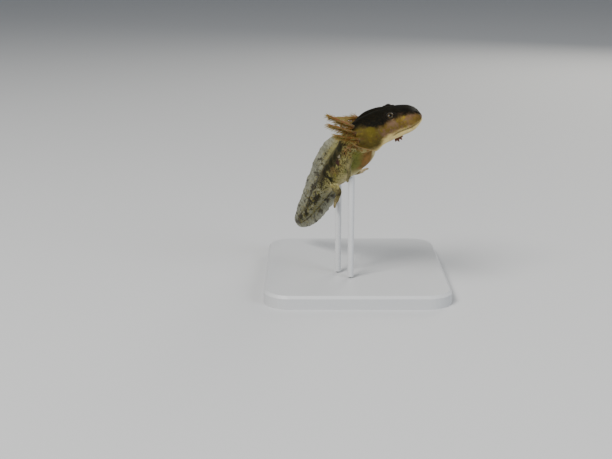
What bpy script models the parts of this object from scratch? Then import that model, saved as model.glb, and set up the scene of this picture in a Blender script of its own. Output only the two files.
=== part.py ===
"""A baby axolotl, life size, as a still display model on a plain stand.

The finished part is in metres with +Z up, and its origin is the centre of the stand's underside.
The lengths below are millimetres, which the last step turns into metres.
The snout points to +X, and the trunk and tail hang down behind it, towards -X and +Y.
Every piece of the animal is placed from its spine: a point on it is a distance from the snout
tip, and round it are the directions forward, right and back (the back being the top side).
"""

import math
import random

import bmesh
import bpy
from mathutils import Matrix, Vector

TO_METRES = 0.001
GAP = 0.3

# Lengths along the spine, from the snout tip
TOTAL_LENGTH = 48.0
EYES = 5.6
GILLS = 10.9
SKULL = 9.0
NECK = 12.6
SHOULDER = 14.2
HIP = 24.0
VENT = 26.0
TAIL_CORE_END = 45.6

# How the body is held: distance from the snout, pitch up, yaw towards -Y and roll to the right
POSE = (
    (0.0, 14.0, 1.0, 10.0),
    (8.6, 21.5, 7.0, 10.0),
    (11.6, 39.0, 28.0, 13.0),
    (14.4, 57.5, 58.0, 19.0),
    (17.0, 48.0, 59.5, 24.0),
    (20.0, 41.0, 54.0, 25.0),
    (26.0, 40.5, 61.5, 25.0),
    (33.0, 42.5, 67.0, 25.0),
    (40.0, 37.0, 66.5, 25.0),
    (48.0, 30.0, 68.0, 25.0),
)
SNOUT_TIP = Vector((11.5, -12.0, 35.5))
SPINE_STEP = 0.25

# The body's outline: distance from the snout, half width, height of the back, depth of the belly
PROFILE = (
    (0.0, 3.4, 1.50, 1.45),
    (2.5, 3.8, 2.25, 2.20),
    (5.0, 4.2, 2.80, 2.55),
    (8.0, 4.6, 3.30, 2.95),
    (10.0, 4.6, 3.20, 3.75),
    (12.0, 3.9, 3.00, 3.00),
    (15.0, 3.6, 2.85, 3.95),
    (18.5, 3.8, 2.85, 3.25),
    (21.5, 3.5, 2.70, 2.95),
    (24.5, 2.7, 2.40, 2.40),
    (27.0, 2.1, 2.05, 1.90),
    (33.0, 1.5, 1.65, 1.45),
    (40.0, 0.95, 1.10, 0.95),
    (45.6, 0.42, 0.55, 0.45),
)
SNOUT_ROUND_SIDE = 3.2
SNOUT_ROUND_TOP = 2.2
SNOUT_DROOP = 0.4
SECTION_POWER = 2.4

# The line of the mouth, as an angle round the section, and how the lips stand on each side of it
MOUTH_ANGLE = -13.6
MOUTH_LIPS = ((-7.5, 0.03), (-3.4, 0.09), (0.0, -0.22), (3.4, 0.10), (9.6, 0.03))
MOUTH_CORNER = 6.4
HEAD_ANGLES = (-90, -74, -58, -44, -32, 6, 18, 31, 45, 60, 75, 90)

NOSTRIL = (0.75, 1.35, 0.75)
NOSTRIL_RADIUS = 0.24
EYE_RADIUS = 0.88
EYE_PLACE = (2.6, 2.0)

# Fins: distance from the snout and height above the back or depth below the belly
BACK_FIN = (
    (13.6, 0.4),
    (15.5, 1.4),
    (18.0, 2.5),
    (21.0, 2.8),
    (26.0, 2.8),
    (31.0, 2.6),
    (37.0, 2.2),
    (43.0, 1.7),
    (46.5, 1.0),
    (48.0, 0.3),
)
BELLY_FIN = (
    (27.1, 0.5),
    (28.6, 1.4),
    (30.5, 1.8),
    (33.0, 1.9),
    (39.0, 1.9),
    (44.0, 1.6),
    (47.0, 1.0),
    (48.0, 0.3),
)
FIN_ROOT_THICKNESS = 0.8
FIN_EDGE_THICKNESS = 0.5

TRUNK_SIDES = 24
TAIL_SIDES = 16
LIMB_SIDES = 10
TOE_SIDES = 6

# Limbs: where each joint is, forward, outwards and back from the spine at the limb's root, and
# last the way that the hand or foot points
FORELEG_RIGHT = (
    (0.0, 2.3, -1.3),
    (-0.6, 4.2, -2.2),
    (-1.2, 5.0, -2.9),
    (-2.8, 4.8, -3.6),
    (-0.90, -0.20, -0.10),
)
FORELEG_LEFT = (
    (0.0, 2.3, -1.3),
    (0.5, 4.4, -2.2),
    (1.1, 5.6, -2.6),
    (2.7, 6.6, -3.5),
    (-0.40, 0.12, -0.90),
)
HINDLEG_RIGHT = (
    (0.0, 1.6, -0.9),
    (0.7, 3.0, -2.4),
    (1.2, 3.4, -3.4),
    (-0.7, 3.5, -4.2),
    (-0.90, 0.10, -0.20),
)
HINDLEG_LEFT = (
    (0.0, 1.6, -0.9),
    (-0.6, 3.9, -1.7),
    (-1.0, 4.9, -2.1),
    (-1.6, 6.5, -2.6),
    (0.10, 1.00, -0.30),
)
FORELEG_RADII = (0.78, 0.66, 0.50, 0.55, 0.36, 0.45)
HINDLEG_RADII = (0.92, 0.78, 0.58, 0.62, 0.42, 0.50)
FINGERS = (-38, -13, 13, 38)
TOES = (-48, -25, 0, 25, 48)
FINGER_LENGTH = 1.25
TOE_LENGTH = 1.5
TOE_RADIUS = 0.27

# Gills: root outwards and up from the spine, and the way each stalk points, forward, outwards, up
GILL_ROOTS = ((2.9, 2.2), (3.7, 1.2), (4.1, 0.0))
GILLS_RIGHT = ((-0.68, 0.20, 0.72), (-0.70, 0.34, 0.63), (-0.72, 0.46, 0.52))
GILLS_LEFT = ((-0.88, 0.40, 0.10), (-0.86, 0.50, -0.08), (-0.80, 0.56, -0.24))
GILL_LENGTHS = (5.9, 6.2, 5.6)
GILL_RADII = (0.50, 0.48, 0.44, 0.38, 0.34, 0.28, 0.22)
FILAMENTS_A_SIDE = 5
FILAMENT_LENGTH = 1.25
FILAMENT_RADIUS = 0.25

BASE_SIZE = (36.0, 40.0, 2.6)
BASE_CORNER = 5.0
BASE_BEVEL = 0.5
ROD_RADIUS = 0.6
ROD_PLACES = (("stand_rod_front", 16.6), ("stand_rod_rear", 22.4))

SKIN_DARK = (0.060, 0.055, 0.030)
SKIN_OLIVE = (0.135, 0.110, 0.040)
FIN_GREY = (0.120, 0.115, 0.075)
GILL_RED = (0.300, 0.060, 0.025)
EYE_BLACK = (0.010, 0.009, 0.008)
STAND_GREY = (0.500, 0.500, 0.500)


def hermite(table, at, column):
    """A smooth curve through a table's column that never overshoots its rows."""
    rows = [(row[0], row[column]) for row in table]
    if at <= rows[0][0]:
        return rows[0][1]
    if at >= rows[-1][0]:
        return rows[-1][1]
    slopes = [(b[1] - a[1]) / (b[0] - a[0]) for a, b in zip(rows, rows[1:])]
    tangents = [slopes[0]]
    for before, after in zip(slopes, slopes[1:]):
        same_way = before * after > 0
        tangents.append(2 * before * after / (before + after) if same_way else 0.0)
    tangents.append(slopes[-1])
    i = max(k for k in range(len(rows) - 1) if rows[k][0] <= at)
    (x0, y0), (x1, y1) = rows[i], rows[i + 1]
    width = x1 - x0
    t = (at - x0) / width
    return (
        y0 * (1 + 2 * t) * (1 - t) ** 2
        + y1 * t * t * (3 - 2 * t)
        + tangents[i] * width * t * (1 - t) ** 2
        - tangents[i + 1] * width * t * t * (1 - t)
    )


def axes_at(distance):
    """Forward, right and back directions of the body at a distance from the snout."""
    pitch, yaw, roll = (math.radians(hermite(POSE, distance, c)) for c in (1, 2, 3))
    level = math.cos(pitch)
    forward = Vector((level * math.cos(yaw), -level * math.sin(yaw), math.sin(pitch)))
    level_right = forward.cross(Vector((0, 0, 1))).normalized()
    back = level_right.cross(forward) * math.cos(roll) + level_right * math.sin(roll)
    return forward, forward.cross(back), back


def spine_points():
    """Points along the spine, one for each SPINE_STEP, from the snout tip to the tail tip."""
    points = [SNOUT_TIP.copy()]
    for k in range(round(TOTAL_LENGTH / SPINE_STEP)):
        points.append(points[-1] - axes_at((k + 0.5) * SPINE_STEP)[0] * SPINE_STEP)
    return points


SPINE = spine_points()


def spine_at(distance):
    k = min(max(int(distance / SPINE_STEP), 0), len(SPINE) - 2)
    return SPINE[k].lerp(SPINE[k + 1], distance / SPINE_STEP - k)


def body_point(distance, forward=0.0, right=0.0, back=0.0):
    """A point in the body's own directions, from the spine at a distance from the snout."""
    ahead, side, up = axes_at(distance)
    return spine_at(distance) + ahead * forward + side * right + up * back


def body_way(distance, forward, right, back):
    ahead, side, up = axes_at(distance)
    return (ahead * forward + side * right + up * back).normalized()


def rounding(distance, length):
    """Closes the snout as a quarter ellipse of that length."""
    if distance >= length:
        return 1.0
    return math.sqrt(1 - (1 - distance / length) ** 2)


def section(distance):
    """Half width, height of the back and depth of the belly."""
    side = rounding(distance, SNOUT_ROUND_SIDE)
    top = rounding(distance, SNOUT_ROUND_TOP)
    return (
        hermite(PROFILE, distance, 1) * side,
        hermite(PROFILE, distance, 2) * top,
        hermite(PROFILE, distance, 3) * top,
    )


def section_point(distance, degrees, grow=0.0):
    """A point of the outline: at 0 degrees on the right side and at 90 on the back."""
    half_width, height, depth = section(distance)
    across = math.cos(math.radians(degrees))
    up = math.sin(math.radians(degrees))
    power = 2 / SECTION_POWER
    right = math.copysign(abs(across) ** power, across) * (half_width + grow)
    tall = (height if up > 0 else depth) + grow
    back = math.copysign(abs(up) ** power, up) * tall
    droop = SNOUT_DROOP * (1 - rounding(distance, SNOUT_ROUND_TOP))
    return right, back - droop


def ring(distance, sides, grow=0.0):
    points = []
    for k in range(sides):
        right, back = section_point(distance, 360 * k / sides, grow)
        points.append(body_point(distance, right=right, back=back))
    return points


def head_angles():
    """Angles round the head with what the lips add there, closer together by the mouth."""
    half = [(a, 0.0) for a in HEAD_ANGLES]
    half += [(MOUTH_ANGLE + offset, push) for offset, push in MOUTH_LIPS]
    half.sort()
    left = [(180 - a, push) for a, push in reversed(half) if abs(a) != 90]
    return half + left


def head_ring(distance):
    fade = min(1.0, distance / 0.8) * min(1.0, max(0.0, (MOUTH_CORNER - distance) / 0.8))
    points = []
    for degrees, push in head_angles():
        right, back = section_point(distance, degrees, push * fade)
        points.append(body_point(distance, right=right, back=back))
    return points


def steps(start, end, count):
    return [start + (end - start) * k / count for k in range(count + 1)]


def new_object(name, bm):
    """Puts a bmesh in the scene as an object whose faces point outwards."""
    bmesh.ops.recalc_face_normals(bm, faces=bm.faces)
    mesh = bpy.data.meshes.new(name)
    bm.to_mesh(mesh)
    bm.free()
    obj = bpy.data.objects.new(name, mesh)
    bpy.context.scene.collection.objects.link(obj)
    return obj


def loft(name, rings, tip_start=None, tip_end=None):
    """A closed body through rings of points, each end flat or drawn to a tip."""
    bm = bmesh.new()
    loops = [[bm.verts.new(p) for p in points] for points in rings]
    for a, b in zip(loops, loops[1:]):
        for k in range(len(a)):
            n = (k + 1) % len(a)
            bm.faces.new((a[k], a[n], b[n], b[k]))
    for loop, tip in ((loops[0], tip_start), (loops[-1], tip_end)):
        if tip is None:
            bm.faces.new(loop)
            continue
        point = bm.verts.new(tip)
        for k in range(len(loop)):
            bm.faces.new((loop[k], loop[(k + 1) % len(loop)], point))
    return new_object(name, bm)


def tube(name, points, radii, sides, flat=None, flatness=1.0):
    """A round limb through points, with rounded ends. Flat is a direction to squash it in."""
    path = [Vector(p) for p in points]
    ways = [(b - a).normalized() for a, b in zip(path, path[1:])]
    first, last = ways[0], ways[-1]
    path = [path[0] - first * radii[0] * 0.75] + path + [path[-1] + last * radii[-1] * 0.75]
    radii = [radii[0] * 0.6] + list(radii) + [radii[-1] * 0.6]
    start = path[0] - first * radii[0] * 0.5
    end = path[-1] + last * radii[-1] * 0.5
    across = first.orthogonal().normalized()
    rings = []
    for k, (point, radius) in enumerate(zip(path, radii)):
        before = path[max(k - 1, 0)]
        after = path[min(k + 1, len(path) - 1)]
        way = (after - before).normalized()
        across = (across - way * across.dot(way)).normalized()
        upward = way.cross(across)
        loop = []
        for j in range(sides):
            angle = math.tau * j / sides
            offset = across * math.cos(angle) + upward * math.sin(angle)
            if flat is not None:
                offset -= flat * offset.dot(flat) * (1 - flatness)
            loop.append(point + offset * radius)
        rings.append(loop)
    return loft(name, rings, tip_start=start, tip_end=end)


def ball(name, centre, radius, segments=18, rings=12):
    bm = bmesh.new()
    place = Matrix.Translation(centre)
    bmesh.ops.create_uvsphere(
        bm, u_segments=segments, v_segments=rings, radius=radius, matrix=place
    )
    return new_object(name, bm)


def apply_boolean(obj, operation, others):
    """Adds or takes away the other closed meshes, which are then removed."""
    group = bpy.data.collections.new("operands")
    bpy.context.scene.collection.children.link(group)
    for other in others:
        bpy.context.scene.collection.objects.unlink(other)
        group.objects.link(other)
    modifier = obj.modifiers.new("boolean", "BOOLEAN")
    modifier.operation = operation
    modifier.solver = "MANIFOLD"
    modifier.operand_type = "COLLECTION"
    modifier.collection = group
    bpy.context.view_layer.update()
    graph = bpy.context.evaluated_depsgraph_get()
    mesh = bpy.data.meshes.new_from_object(obj.evaluated_get(graph))
    obj.modifiers.clear()
    old = obj.data
    obj.data = mesh
    bpy.data.meshes.remove(old)
    for other in others:
        bpy.data.objects.remove(other)
    bpy.data.collections.remove(group)
    keep_largest(obj)
    return obj


def keep_largest(obj):
    """Leaves only the closed surface with the most volume."""
    bm = bmesh.new()
    bm.from_mesh(obj.data)
    bm.verts.ensure_lookup_table()
    seen = set()
    groups = []
    for start in bm.verts:
        if start in seen:
            continue
        group = {start}
        queue = [start]
        while queue:
            for edge in queue.pop().link_edges:
                for vert in edge.verts:
                    if vert not in group:
                        group.add(vert)
                        queue.append(vert)
        seen |= group
        groups.append(group)
    groups.sort(key=len)
    for group in groups[:-1]:
        bmesh.ops.delete(bm, geom=list(group), context="VERTS")
    bm.to_mesh(obj.data)
    bm.free()


def body_cutter(start, end, sides, grow=GAP):
    """The body between two distances, larger by the gap, to cut what meets it."""
    return loft("cutter", [ring(d, sides, grow) for d in steps(start, end, 20)])


def clear_scene():
    for obj in list(bpy.data.objects):
        bpy.data.objects.remove(obj)


def make_head():
    stations = [0.12, 0.45, 0.9, 1.5, 2.1] + steps(2.9, NECK - GAP / 2, 15)
    head = loft("head", [head_ring(d) for d in stations], tip_start=snout_end())
    cutters = []
    for side in (1, -1):
        right, back = EYE_PLACE
        centre = body_point(EYES, right=side * right, back=back)
        cutters.append(ball("socket", centre, EYE_RADIUS + GAP))
        distance, right, back = NOSTRIL
        centre = body_point(distance, right=side * right, back=back)
        cutters.append(ball("nostril_cut", centre, NOSTRIL_RADIUS, 8, 6))
        name = "eye_right" if side == 1 else "eye_left"
        right, back = EYE_PLACE
        ball(name, body_point(EYES, right=side * right, back=back), EYE_RADIUS)
    apply_boolean(head, "DIFFERENCE", cutters)


def snout_end():
    return body_point(0.0, back=-SNOUT_DROOP)


def neck_cutter():
    """A block whose back face lies the gap behind the head's own, and parallel to it."""
    behind = NECK - GAP / 2
    corners = ((-9.0, -9.0), (9.0, -9.0), (9.0, 9.0), (-9.0, 9.0))
    rings = []
    for forward in (9.0, -GAP):
        rings.append([body_point(behind, forward, right, back) for right, back in corners])
    return loft("cutter", rings)


def make_torso():
    stations = steps(NECK - GAP / 2, VENT - GAP / 2, 22)
    torso = loft("torso", [ring(d, TRUNK_SIDES) for d in stations])
    apply_boolean(torso, "DIFFERENCE", [neck_cutter()])


def make_tail():
    stations = steps(VENT + GAP / 2, TAIL_CORE_END - 0.3, 18)
    rings = [ring(d, TAIL_SIDES) for d in stations]
    loft("tail", rings, tip_end=spine_at(TAIL_CORE_END))


def blade(name, stations, low, high, thick_low, thick_high, rows=3):
    """A thin upright sheet in the body's middle plane, between two heights from the spine.
    Both faces are cut into triangles alike, so that they never cross where it curves."""
    bm = bmesh.new()
    grids = []
    for side in (1, -1):
        grid = []
        for d in stations:
            column = []
            for j in range(rows + 1):
                share = j / rows
                back = low(d) + (high(d) - low(d)) * share
                half = (thick_low + (thick_high - thick_low) * share) / 2
                column.append(bm.verts.new(body_point(d, right=side * half, back=back)))
            grid.append(column)
        grids.append(grid)
        for a, b in zip(grid, grid[1:]):
            for j in range(rows):
                bm.faces.new((a[j], b[j], b[j + 1]))
                bm.faces.new((a[j], b[j + 1], a[j + 1]))
    one, two = grids
    last = len(stations) - 1
    border = [(k, 0, k + 1, 0) for k in range(last)]
    border += [(k, rows, k + 1, rows) for k in range(last)]
    border += [(0, j, 0, j + 1) for j in range(rows)]
    border += [(last, j, last, j + 1) for j in range(rows)]
    for k, j, n, m in border:
        bm.faces.new((one[k][j], one[n][m], two[n][m]))
        bm.faces.new((one[k][j], two[n][m], two[k][j]))
    return new_object(name, bm)


def back_edge(distance):
    return section(distance)[1] + hermite(BACK_FIN, distance, 1)


def belly_edge(distance):
    return -section(distance)[2] - hermite(BELLY_FIN, distance, 1)


def above_back(distance):
    return section(distance)[1] + GAP


def below_belly(distance):
    return -section(distance)[2] - GAP


def tail_end_low(distance):
    """Past the end of the tail's flesh the upper fin reaches down to the lower edge."""
    return above_back(distance) if distance < TAIL_CORE_END + 0.4 else belly_edge(distance)


def make_fins():
    thick, thin = FIN_ROOT_THICKNESS, FIN_EDGE_THICKNESS
    front = steps(14.2, VENT - GAP / 2, 14)
    blade("dorsal_fin", front, above_back, back_edge, thick, thin)
    upper = steps(VENT + GAP / 2, TAIL_CORE_END + 0.35, 18)
    upper += [TAIL_CORE_END + d for d in (0.5, 1.0, 1.5, 2.0, 2.3)]
    blade("tail_fin_upper", upper, tail_end_low, back_edge, thick, thin)
    lower = steps(28.2, TAIL_CORE_END + 0.1, 17)
    blade("tail_fin_lower", lower, belly_edge, below_belly, thin, thick)


def make_limb(name, distance, side, joints, radii, spread, toe_length, cutter):
    """A leg from its root in the body to its toes, cut free of the body by the gap."""
    points = [body_point(distance, f, side * r, b) for f, r, b in joints[:4]]
    shoulder, middle, elbow, wrist = points
    forward, outward, back = joints[4]
    way = body_way(distance, forward, side * outward, back)
    palm = wrist + way * 0.55
    path = [shoulder, middle, elbow, elbow.lerp(wrist, 0.4), wrist, palm]
    limb = tube(name, path, radii, LIMB_SIDES)
    palm_back = body_way(distance, 0.3, side * 0.6, 1.0)
    across = way.cross(palm_back).normalized()
    toes = []
    for degrees in spread:
        angle = math.radians(degrees)
        toe_way = way * math.cos(angle) + across * math.sin(angle)
        root = wrist + way * 0.35 + across * math.sin(angle) * 0.35
        length = toe_length * (1.0 - 0.25 * abs(degrees) / 48)
        tip = root + toe_way * length
        middle_toe = root.lerp(tip, 0.55)
        rounds = (TOE_RADIUS * 1.1, TOE_RADIUS, TOE_RADIUS * 0.75)
        toes.append(tube("toe", (root, middle_toe, tip), rounds, TOE_SIDES))
    apply_boolean(limb, "UNION", toes)
    apply_boolean(limb, "DIFFERENCE", [cutter])


def make_limbs():
    legs = (
        ("foreleg_right", SHOULDER, 1, FORELEG_RIGHT),
        ("foreleg_left", SHOULDER, -1, FORELEG_LEFT),
        ("hindleg_right", HIP, 1, HINDLEG_RIGHT),
        ("hindleg_left", HIP, -1, HINDLEG_LEFT),
    )
    for name, distance, side, joints in legs:
        front = distance == SHOULDER
        radii = FORELEG_RADII if front else HINDLEG_RADII
        spread = FINGERS if front else TOES
        toe_length = FINGER_LENGTH if front else TOE_LENGTH
        cutter = body_cutter(distance - 6.5, distance + 6.0, TRUNK_SIDES)
        make_limb(name, distance, side, joints, radii, spread, toe_length, cutter)


def gill_path(side, root_place, way, length):
    """Points along a gill's stalk, its own way, and the side that its filaments spread to."""
    right, back = root_place
    forward, outward, upward = way
    root = body_point(GILLS, right=side * right, back=back)
    along = body_way(SKULL, forward, side * outward, upward)
    lift = body_way(SKULL, 0.15, side * 0.1, 1.0)
    root -= along * 0.8
    bend = lift * (0.12 * length)
    path = [root + along * length * t + bend * t * t for t in steps(0.0, 1.0, 6)]
    return path, along, along.cross(lift).normalized(), lift


def gill_filaments(path, along, across, lift, chance):
    """Two rows of filaments, swept towards the stalk's tip and a little down."""
    made = []
    for row in (1, -1):
        for k in range(FILAMENTS_A_SIDE):
            at = 1.9 + 3.9 * (k + 0.25 * (row + 1)) / FILAMENTS_A_SIDE
            root = path[int(at)].lerp(path[int(at) + 1], at % 1)
            length = FILAMENT_LENGTH * (1.15 - 0.10 * at) * chance.uniform(0.9, 1.1)
            sweep = chance.uniform(0.75, 0.95)
            way = (across * row + along * sweep - lift * 0.1).normalized()
            middle = root + way * length * 0.5
            tip = root + way * length - lift * 0.05
            radii = (FILAMENT_RADIUS, FILAMENT_RADIUS, FILAMENT_RADIUS * 0.6)
            made.append(tube("filament", (root, middle, tip), radii, 6))
    return made


def make_gills():
    chance = random.Random(11)
    for side, word in ((1, "right"), (-1, "left")):
        ways = GILLS_RIGHT if side == 1 else GILLS_LEFT
        rows = zip(GILL_ROOTS, ways, GILL_LENGTHS)
        for k, (root_place, way, length) in enumerate(rows, 1):
            path, along, across, lift = gill_path(side, root_place, way, length)
            gill = tube(f"gill_{word}_{k}", path, GILL_RADII, 8)
            filaments = gill_filaments(path, along, across, lift, chance)
            apply_boolean(gill, "UNION", filaments)
            cutter = body_cutter(GILLS - 3.0, NECK + 3.0, TRUNK_SIDES)
            apply_boolean(gill, "DIFFERENCE", [cutter])


def rounded_plate(width, depth, corner, z, inset):
    """Points round a rectangle with rounded corners."""
    points = []
    radius = corner - inset
    for k in range(32):
        angle = math.tau * (k + 0.5) / 32
        cx = math.copysign(width / 2 - corner, math.cos(angle))
        cy = math.copysign(depth / 2 - corner, math.sin(angle))
        points.append((cx + radius * math.cos(angle), cy + radius * math.sin(angle), z))
    return points


def make_stand():
    width, depth, height = BASE_SIZE
    rings = [
        rounded_plate(width, depth, BASE_CORNER, 0.0, 0.0),
        rounded_plate(width, depth, BASE_CORNER, height - BASE_BEVEL, 0.0),
        rounded_plate(width, depth, BASE_CORNER, height, BASE_BEVEL),
    ]
    loft("stand_base", rings)
    for name, distance in ROD_PLACES:
        top = body_point(distance, back=0.0)
        bottom = Vector((top.x, top.y, height + GAP))
        rings = []
        for z in (bottom.z, top.z):
            loop = []
            for k in range(16):
                angle = math.tau * k / 16
                x = top.x + ROD_RADIUS * math.cos(angle)
                y = top.y + ROD_RADIUS * math.sin(angle)
                loop.append((x, y, z))
            rings.append(loop)
        rod = loft(name, rings)
        cutter = body_cutter(distance - 5.0, distance + 5.0, TRUNK_SIDES)
        apply_boolean(rod, "DIFFERENCE", [cutter])


def material(name, colour, roughness):
    made = bpy.data.materials.new(name)
    made.use_nodes = True
    shader = made.node_tree.nodes["Principled BSDF"]
    shader.inputs["Base Color"].default_value = (*colour, 1.0)
    shader.inputs["Roughness"].default_value = roughness
    return made


def colour_all():
    kinds = {
        "head": (SKIN_DARK, 0.35),
        "torso": (SKIN_OLIVE, 0.35),
        "tail": (SKIN_OLIVE, 0.35),
        "dorsal": (FIN_GREY, 0.35),
        "foreleg": (SKIN_OLIVE, 0.4),
        "hindleg": (SKIN_OLIVE, 0.4),
        "gill": (GILL_RED, 0.4),
        "eye": (EYE_BLACK, 0.1),
        "stand": (STAND_GREY, 0.4),
    }
    for obj in bpy.context.scene.objects:
        kind = obj.name.split("_")[0]
        if obj.name.startswith("tail_fin"):
            kind = "dorsal"
        colour, roughness = kinds[kind]
        obj.data.materials.clear()
        obj.data.materials.append(material(obj.name, colour, roughness))


def to_metres():
    """Turns every mesh into metres and shades it smooth."""
    for obj in bpy.context.scene.objects:
        obj.data.transform(Matrix.Scale(TO_METRES, 4))
        obj.data.shade_smooth()
        obj.data.update()


def main():
    clear_scene()
    make_head()
    make_torso()
    make_tail()
    make_fins()
    make_limbs()
    make_gills()
    make_stand()
    colour_all()
    to_metres()


main()
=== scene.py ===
"""The looks of a baby axolotl, life size, as a still display model on a plain stand.

The animal is first modelled straight, in millimetres, with its snout tip at the origin, its
snout towards +X, its left side towards +Y and its back up. The skin and the fin are then
bent into the pose along the same spine as the solids, the gills and eyes are set on that
spine, and every piece is turned into metres.
"""

import math
import random

import bpy
import numpy as np
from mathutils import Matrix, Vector


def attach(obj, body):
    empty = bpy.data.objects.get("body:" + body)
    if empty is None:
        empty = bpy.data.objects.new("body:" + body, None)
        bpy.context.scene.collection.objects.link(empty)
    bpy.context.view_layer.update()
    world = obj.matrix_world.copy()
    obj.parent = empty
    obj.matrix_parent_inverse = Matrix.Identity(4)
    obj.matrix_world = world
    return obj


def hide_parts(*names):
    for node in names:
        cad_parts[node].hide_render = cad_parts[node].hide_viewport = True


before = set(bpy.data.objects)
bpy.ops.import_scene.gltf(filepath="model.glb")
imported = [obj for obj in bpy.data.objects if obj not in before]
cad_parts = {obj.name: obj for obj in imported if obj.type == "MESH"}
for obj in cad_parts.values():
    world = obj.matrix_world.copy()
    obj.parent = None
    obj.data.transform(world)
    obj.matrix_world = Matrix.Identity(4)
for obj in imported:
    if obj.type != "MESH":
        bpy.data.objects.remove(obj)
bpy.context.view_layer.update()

TO_METRES = 0.001
VOXEL = 0.15

# Lengths along the spine, from the snout tip
TOTAL_LENGTH = 48.0
EYES = 5.6
SKULL = 9.0
GILLS = 10.9
SHOULDER = 14.2
HIP = 24.0
TAIL_CORE_END = 45.6

# How the body is held: distance from the snout, pitch up, yaw towards -Y, roll to the right
POSE = (
    (0.0, 14.0, 1.0, 10.0),
    (8.6, 21.5, 7.0, 10.0),
    (11.6, 39.0, 28.0, 13.0),
    (14.4, 57.5, 58.0, 19.0),
    (17.0, 48.0, 59.5, 24.0),
    (20.0, 41.0, 54.0, 25.0),
    (26.0, 40.5, 61.5, 25.0),
    (33.0, 42.5, 67.0, 25.0),
    (40.0, 37.0, 66.5, 25.0),
    (48.0, 30.0, 68.0, 25.0),
)
SNOUT_TIP = np.array((11.5, -12.0, 35.5))
SPINE_STEP = 0.25

# The body's outline: distance from the snout, half width, height of the back and depth of
# the belly
PROFILE = (
    (0.0, 3.4, 1.50, 1.45),
    (2.5, 3.8, 2.25, 2.20),
    (5.0, 4.2, 2.80, 2.55),
    (8.0, 4.6, 3.30, 2.95),
    (10.0, 4.6, 3.20, 3.75),
    (12.0, 3.9, 3.00, 3.00),
    (15.0, 3.6, 2.85, 3.95),
    (18.5, 3.8, 2.85, 3.25),
    (21.5, 3.5, 2.70, 2.95),
    (24.5, 2.7, 2.40, 2.40),
    (27.0, 2.1, 2.05, 1.90),
    (33.0, 1.5, 1.65, 1.45),
    (40.0, 0.95, 1.10, 0.95),
    (45.6, 0.42, 0.55, 0.45),
)
# How far back the snout rounds off, seen from above and from the side, and how far its tip
# droops
SNOUT_ROUND_SIDE = 3.2
SNOUT_ROUND_TOP = 2.2
SNOUT_DROOP = 0.4
# How square the body's section is, where 2 would be an ellipse
SECTION_POWER = 2.4
# The mouth: degrees below the widest line of the head, and how far back its corner is
MOUTH_ANGLE = -13.6
MOUTH_CORNER = 6.3
# How far the line of the mouth dips towards its corner, and from where to where
MOUTH_DIP = (0.35, 4.6, 6.4)
# A nostril, back from the snout and sideways
NOSTRIL = (0.75, 1.35)
# An eye: its middle sideways and up, and which way it looks, forward, outwards and up
EYE_RADIUS = 0.88
EYE_PLACE = (2.6, 2.0)
EYE_LOOKS = (0.25, 0.74, 0.62)

# Folds of the skin, each row a ridge or a groove: how far out, at which place, and how wide.
# The places are measured from the line of the mouth, the middle of a nostril, and the middle
# line of an eye's socket
LIP_FOLDS = ((-0.20, 0.0, 0.11), (0.07, 0.34, 0.20), (0.05, -0.30, 0.18))
NOSTRIL_FOLDS = ((-0.22, 0.0, 0.17), (0.05, 0.33, 0.12))
LID_FOLDS = ((0.13, 0.92, 0.20), (-0.06, 1.35, 0.22))
SOCKET_DEPTH = 0.30
SOCKET_EDGE = (0.45, 0.72)
# The gill fold: how far back it lies at the throat and on the side, and between which
# heights it runs from one to the other
GILL_FOLD = (10.8, 12.5)
GILL_FOLD_RISE = (-3.2, -0.4)
# Measured from the gill fold
THROAT_FOLDS = ((-0.26, 0.0, 0.20), (0.14, -0.42, 0.30))
THROAT_FULLNESS = (0.34, 12.0, 0.75)
# The folds down the flanks, and the line along the middle of each flank
RIB_SPACING = 0.86
RIB_LEAN = 0.12
RIB_DEPTH = 0.10
SIDE_LINE = (-0.05, 0.45, 0.16)

# The fins: distance from the snout, and height above the back or depth below the belly
BACK_FIN = (
    (13.6, 0.3),
    (15.5, 1.4),
    (18.0, 2.5),
    (21.0, 2.8),
    (26.0, 2.8),
    (31.0, 2.6),
    (37.0, 2.2),
    (43.0, 1.7),
    (46.5, 1.0),
)
BELLY_FIN = (
    (26.4, 0.1),
    (28.6, 1.4),
    (30.5, 1.8),
    (33.0, 1.9),
    (39.0, 1.9),
    (44.0, 1.6),
    (46.8, 0.9),
)
# How deep the fin's root lies in the body, where it narrows and where it ends
FIN_ROOT_DEPTH = 0.45
FIN_ROOT_NARROWS = 44.0
FIN_ROOT_END = 45.4
# Where the fin's rear end begins, and how far it bulges back
FIN_END = 46.6
FIN_END_ROUND = 1.5
# The fin's thickness at its root, and the share of it that its edge keeps
FIN_THICKNESS = 0.55
FIN_EDGE_SHARE = 0.16
# How many waves are laid over each other, how far they reach to each side, and how uneven
# they leave the edge
FIN_WAVES = 7
FIN_RIPPLE = 0.42
FIN_SCALLOP = 0.10

# Limbs: where each joint is, forward, outwards and back from the spine at the limb's root,
# and last the way that the hand or foot points
FORELEG_RIGHT = (
    (0.0, 2.3, -1.3),
    (-0.6, 4.2, -2.2),
    (-1.2, 5.0, -2.9),
    (-2.8, 4.8, -3.6),
    (-0.90, -0.20, -0.10),
)
FORELEG_LEFT = (
    (0.0, 2.3, -1.3),
    (0.5, 4.4, -2.2),
    (1.1, 5.6, -2.6),
    (2.7, 6.6, -3.5),
    (-0.40, 0.12, -0.90),
)
HINDLEG_RIGHT = (
    (0.0, 1.6, -0.9),
    (0.7, 3.0, -2.4),
    (1.2, 3.4, -3.4),
    (-0.7, 3.5, -4.2),
    (-0.90, 0.10, -0.20),
)
HINDLEG_LEFT = (
    (0.0, 1.6, -0.9),
    (-0.6, 3.9, -1.7),
    (-1.0, 4.9, -2.1),
    (-1.6, 6.5, -2.6),
    (0.10, 1.00, -0.30),
)
FORELEG_RADII = (0.78, 0.66, 0.50, 0.50, 0.34, 0.42)
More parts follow.
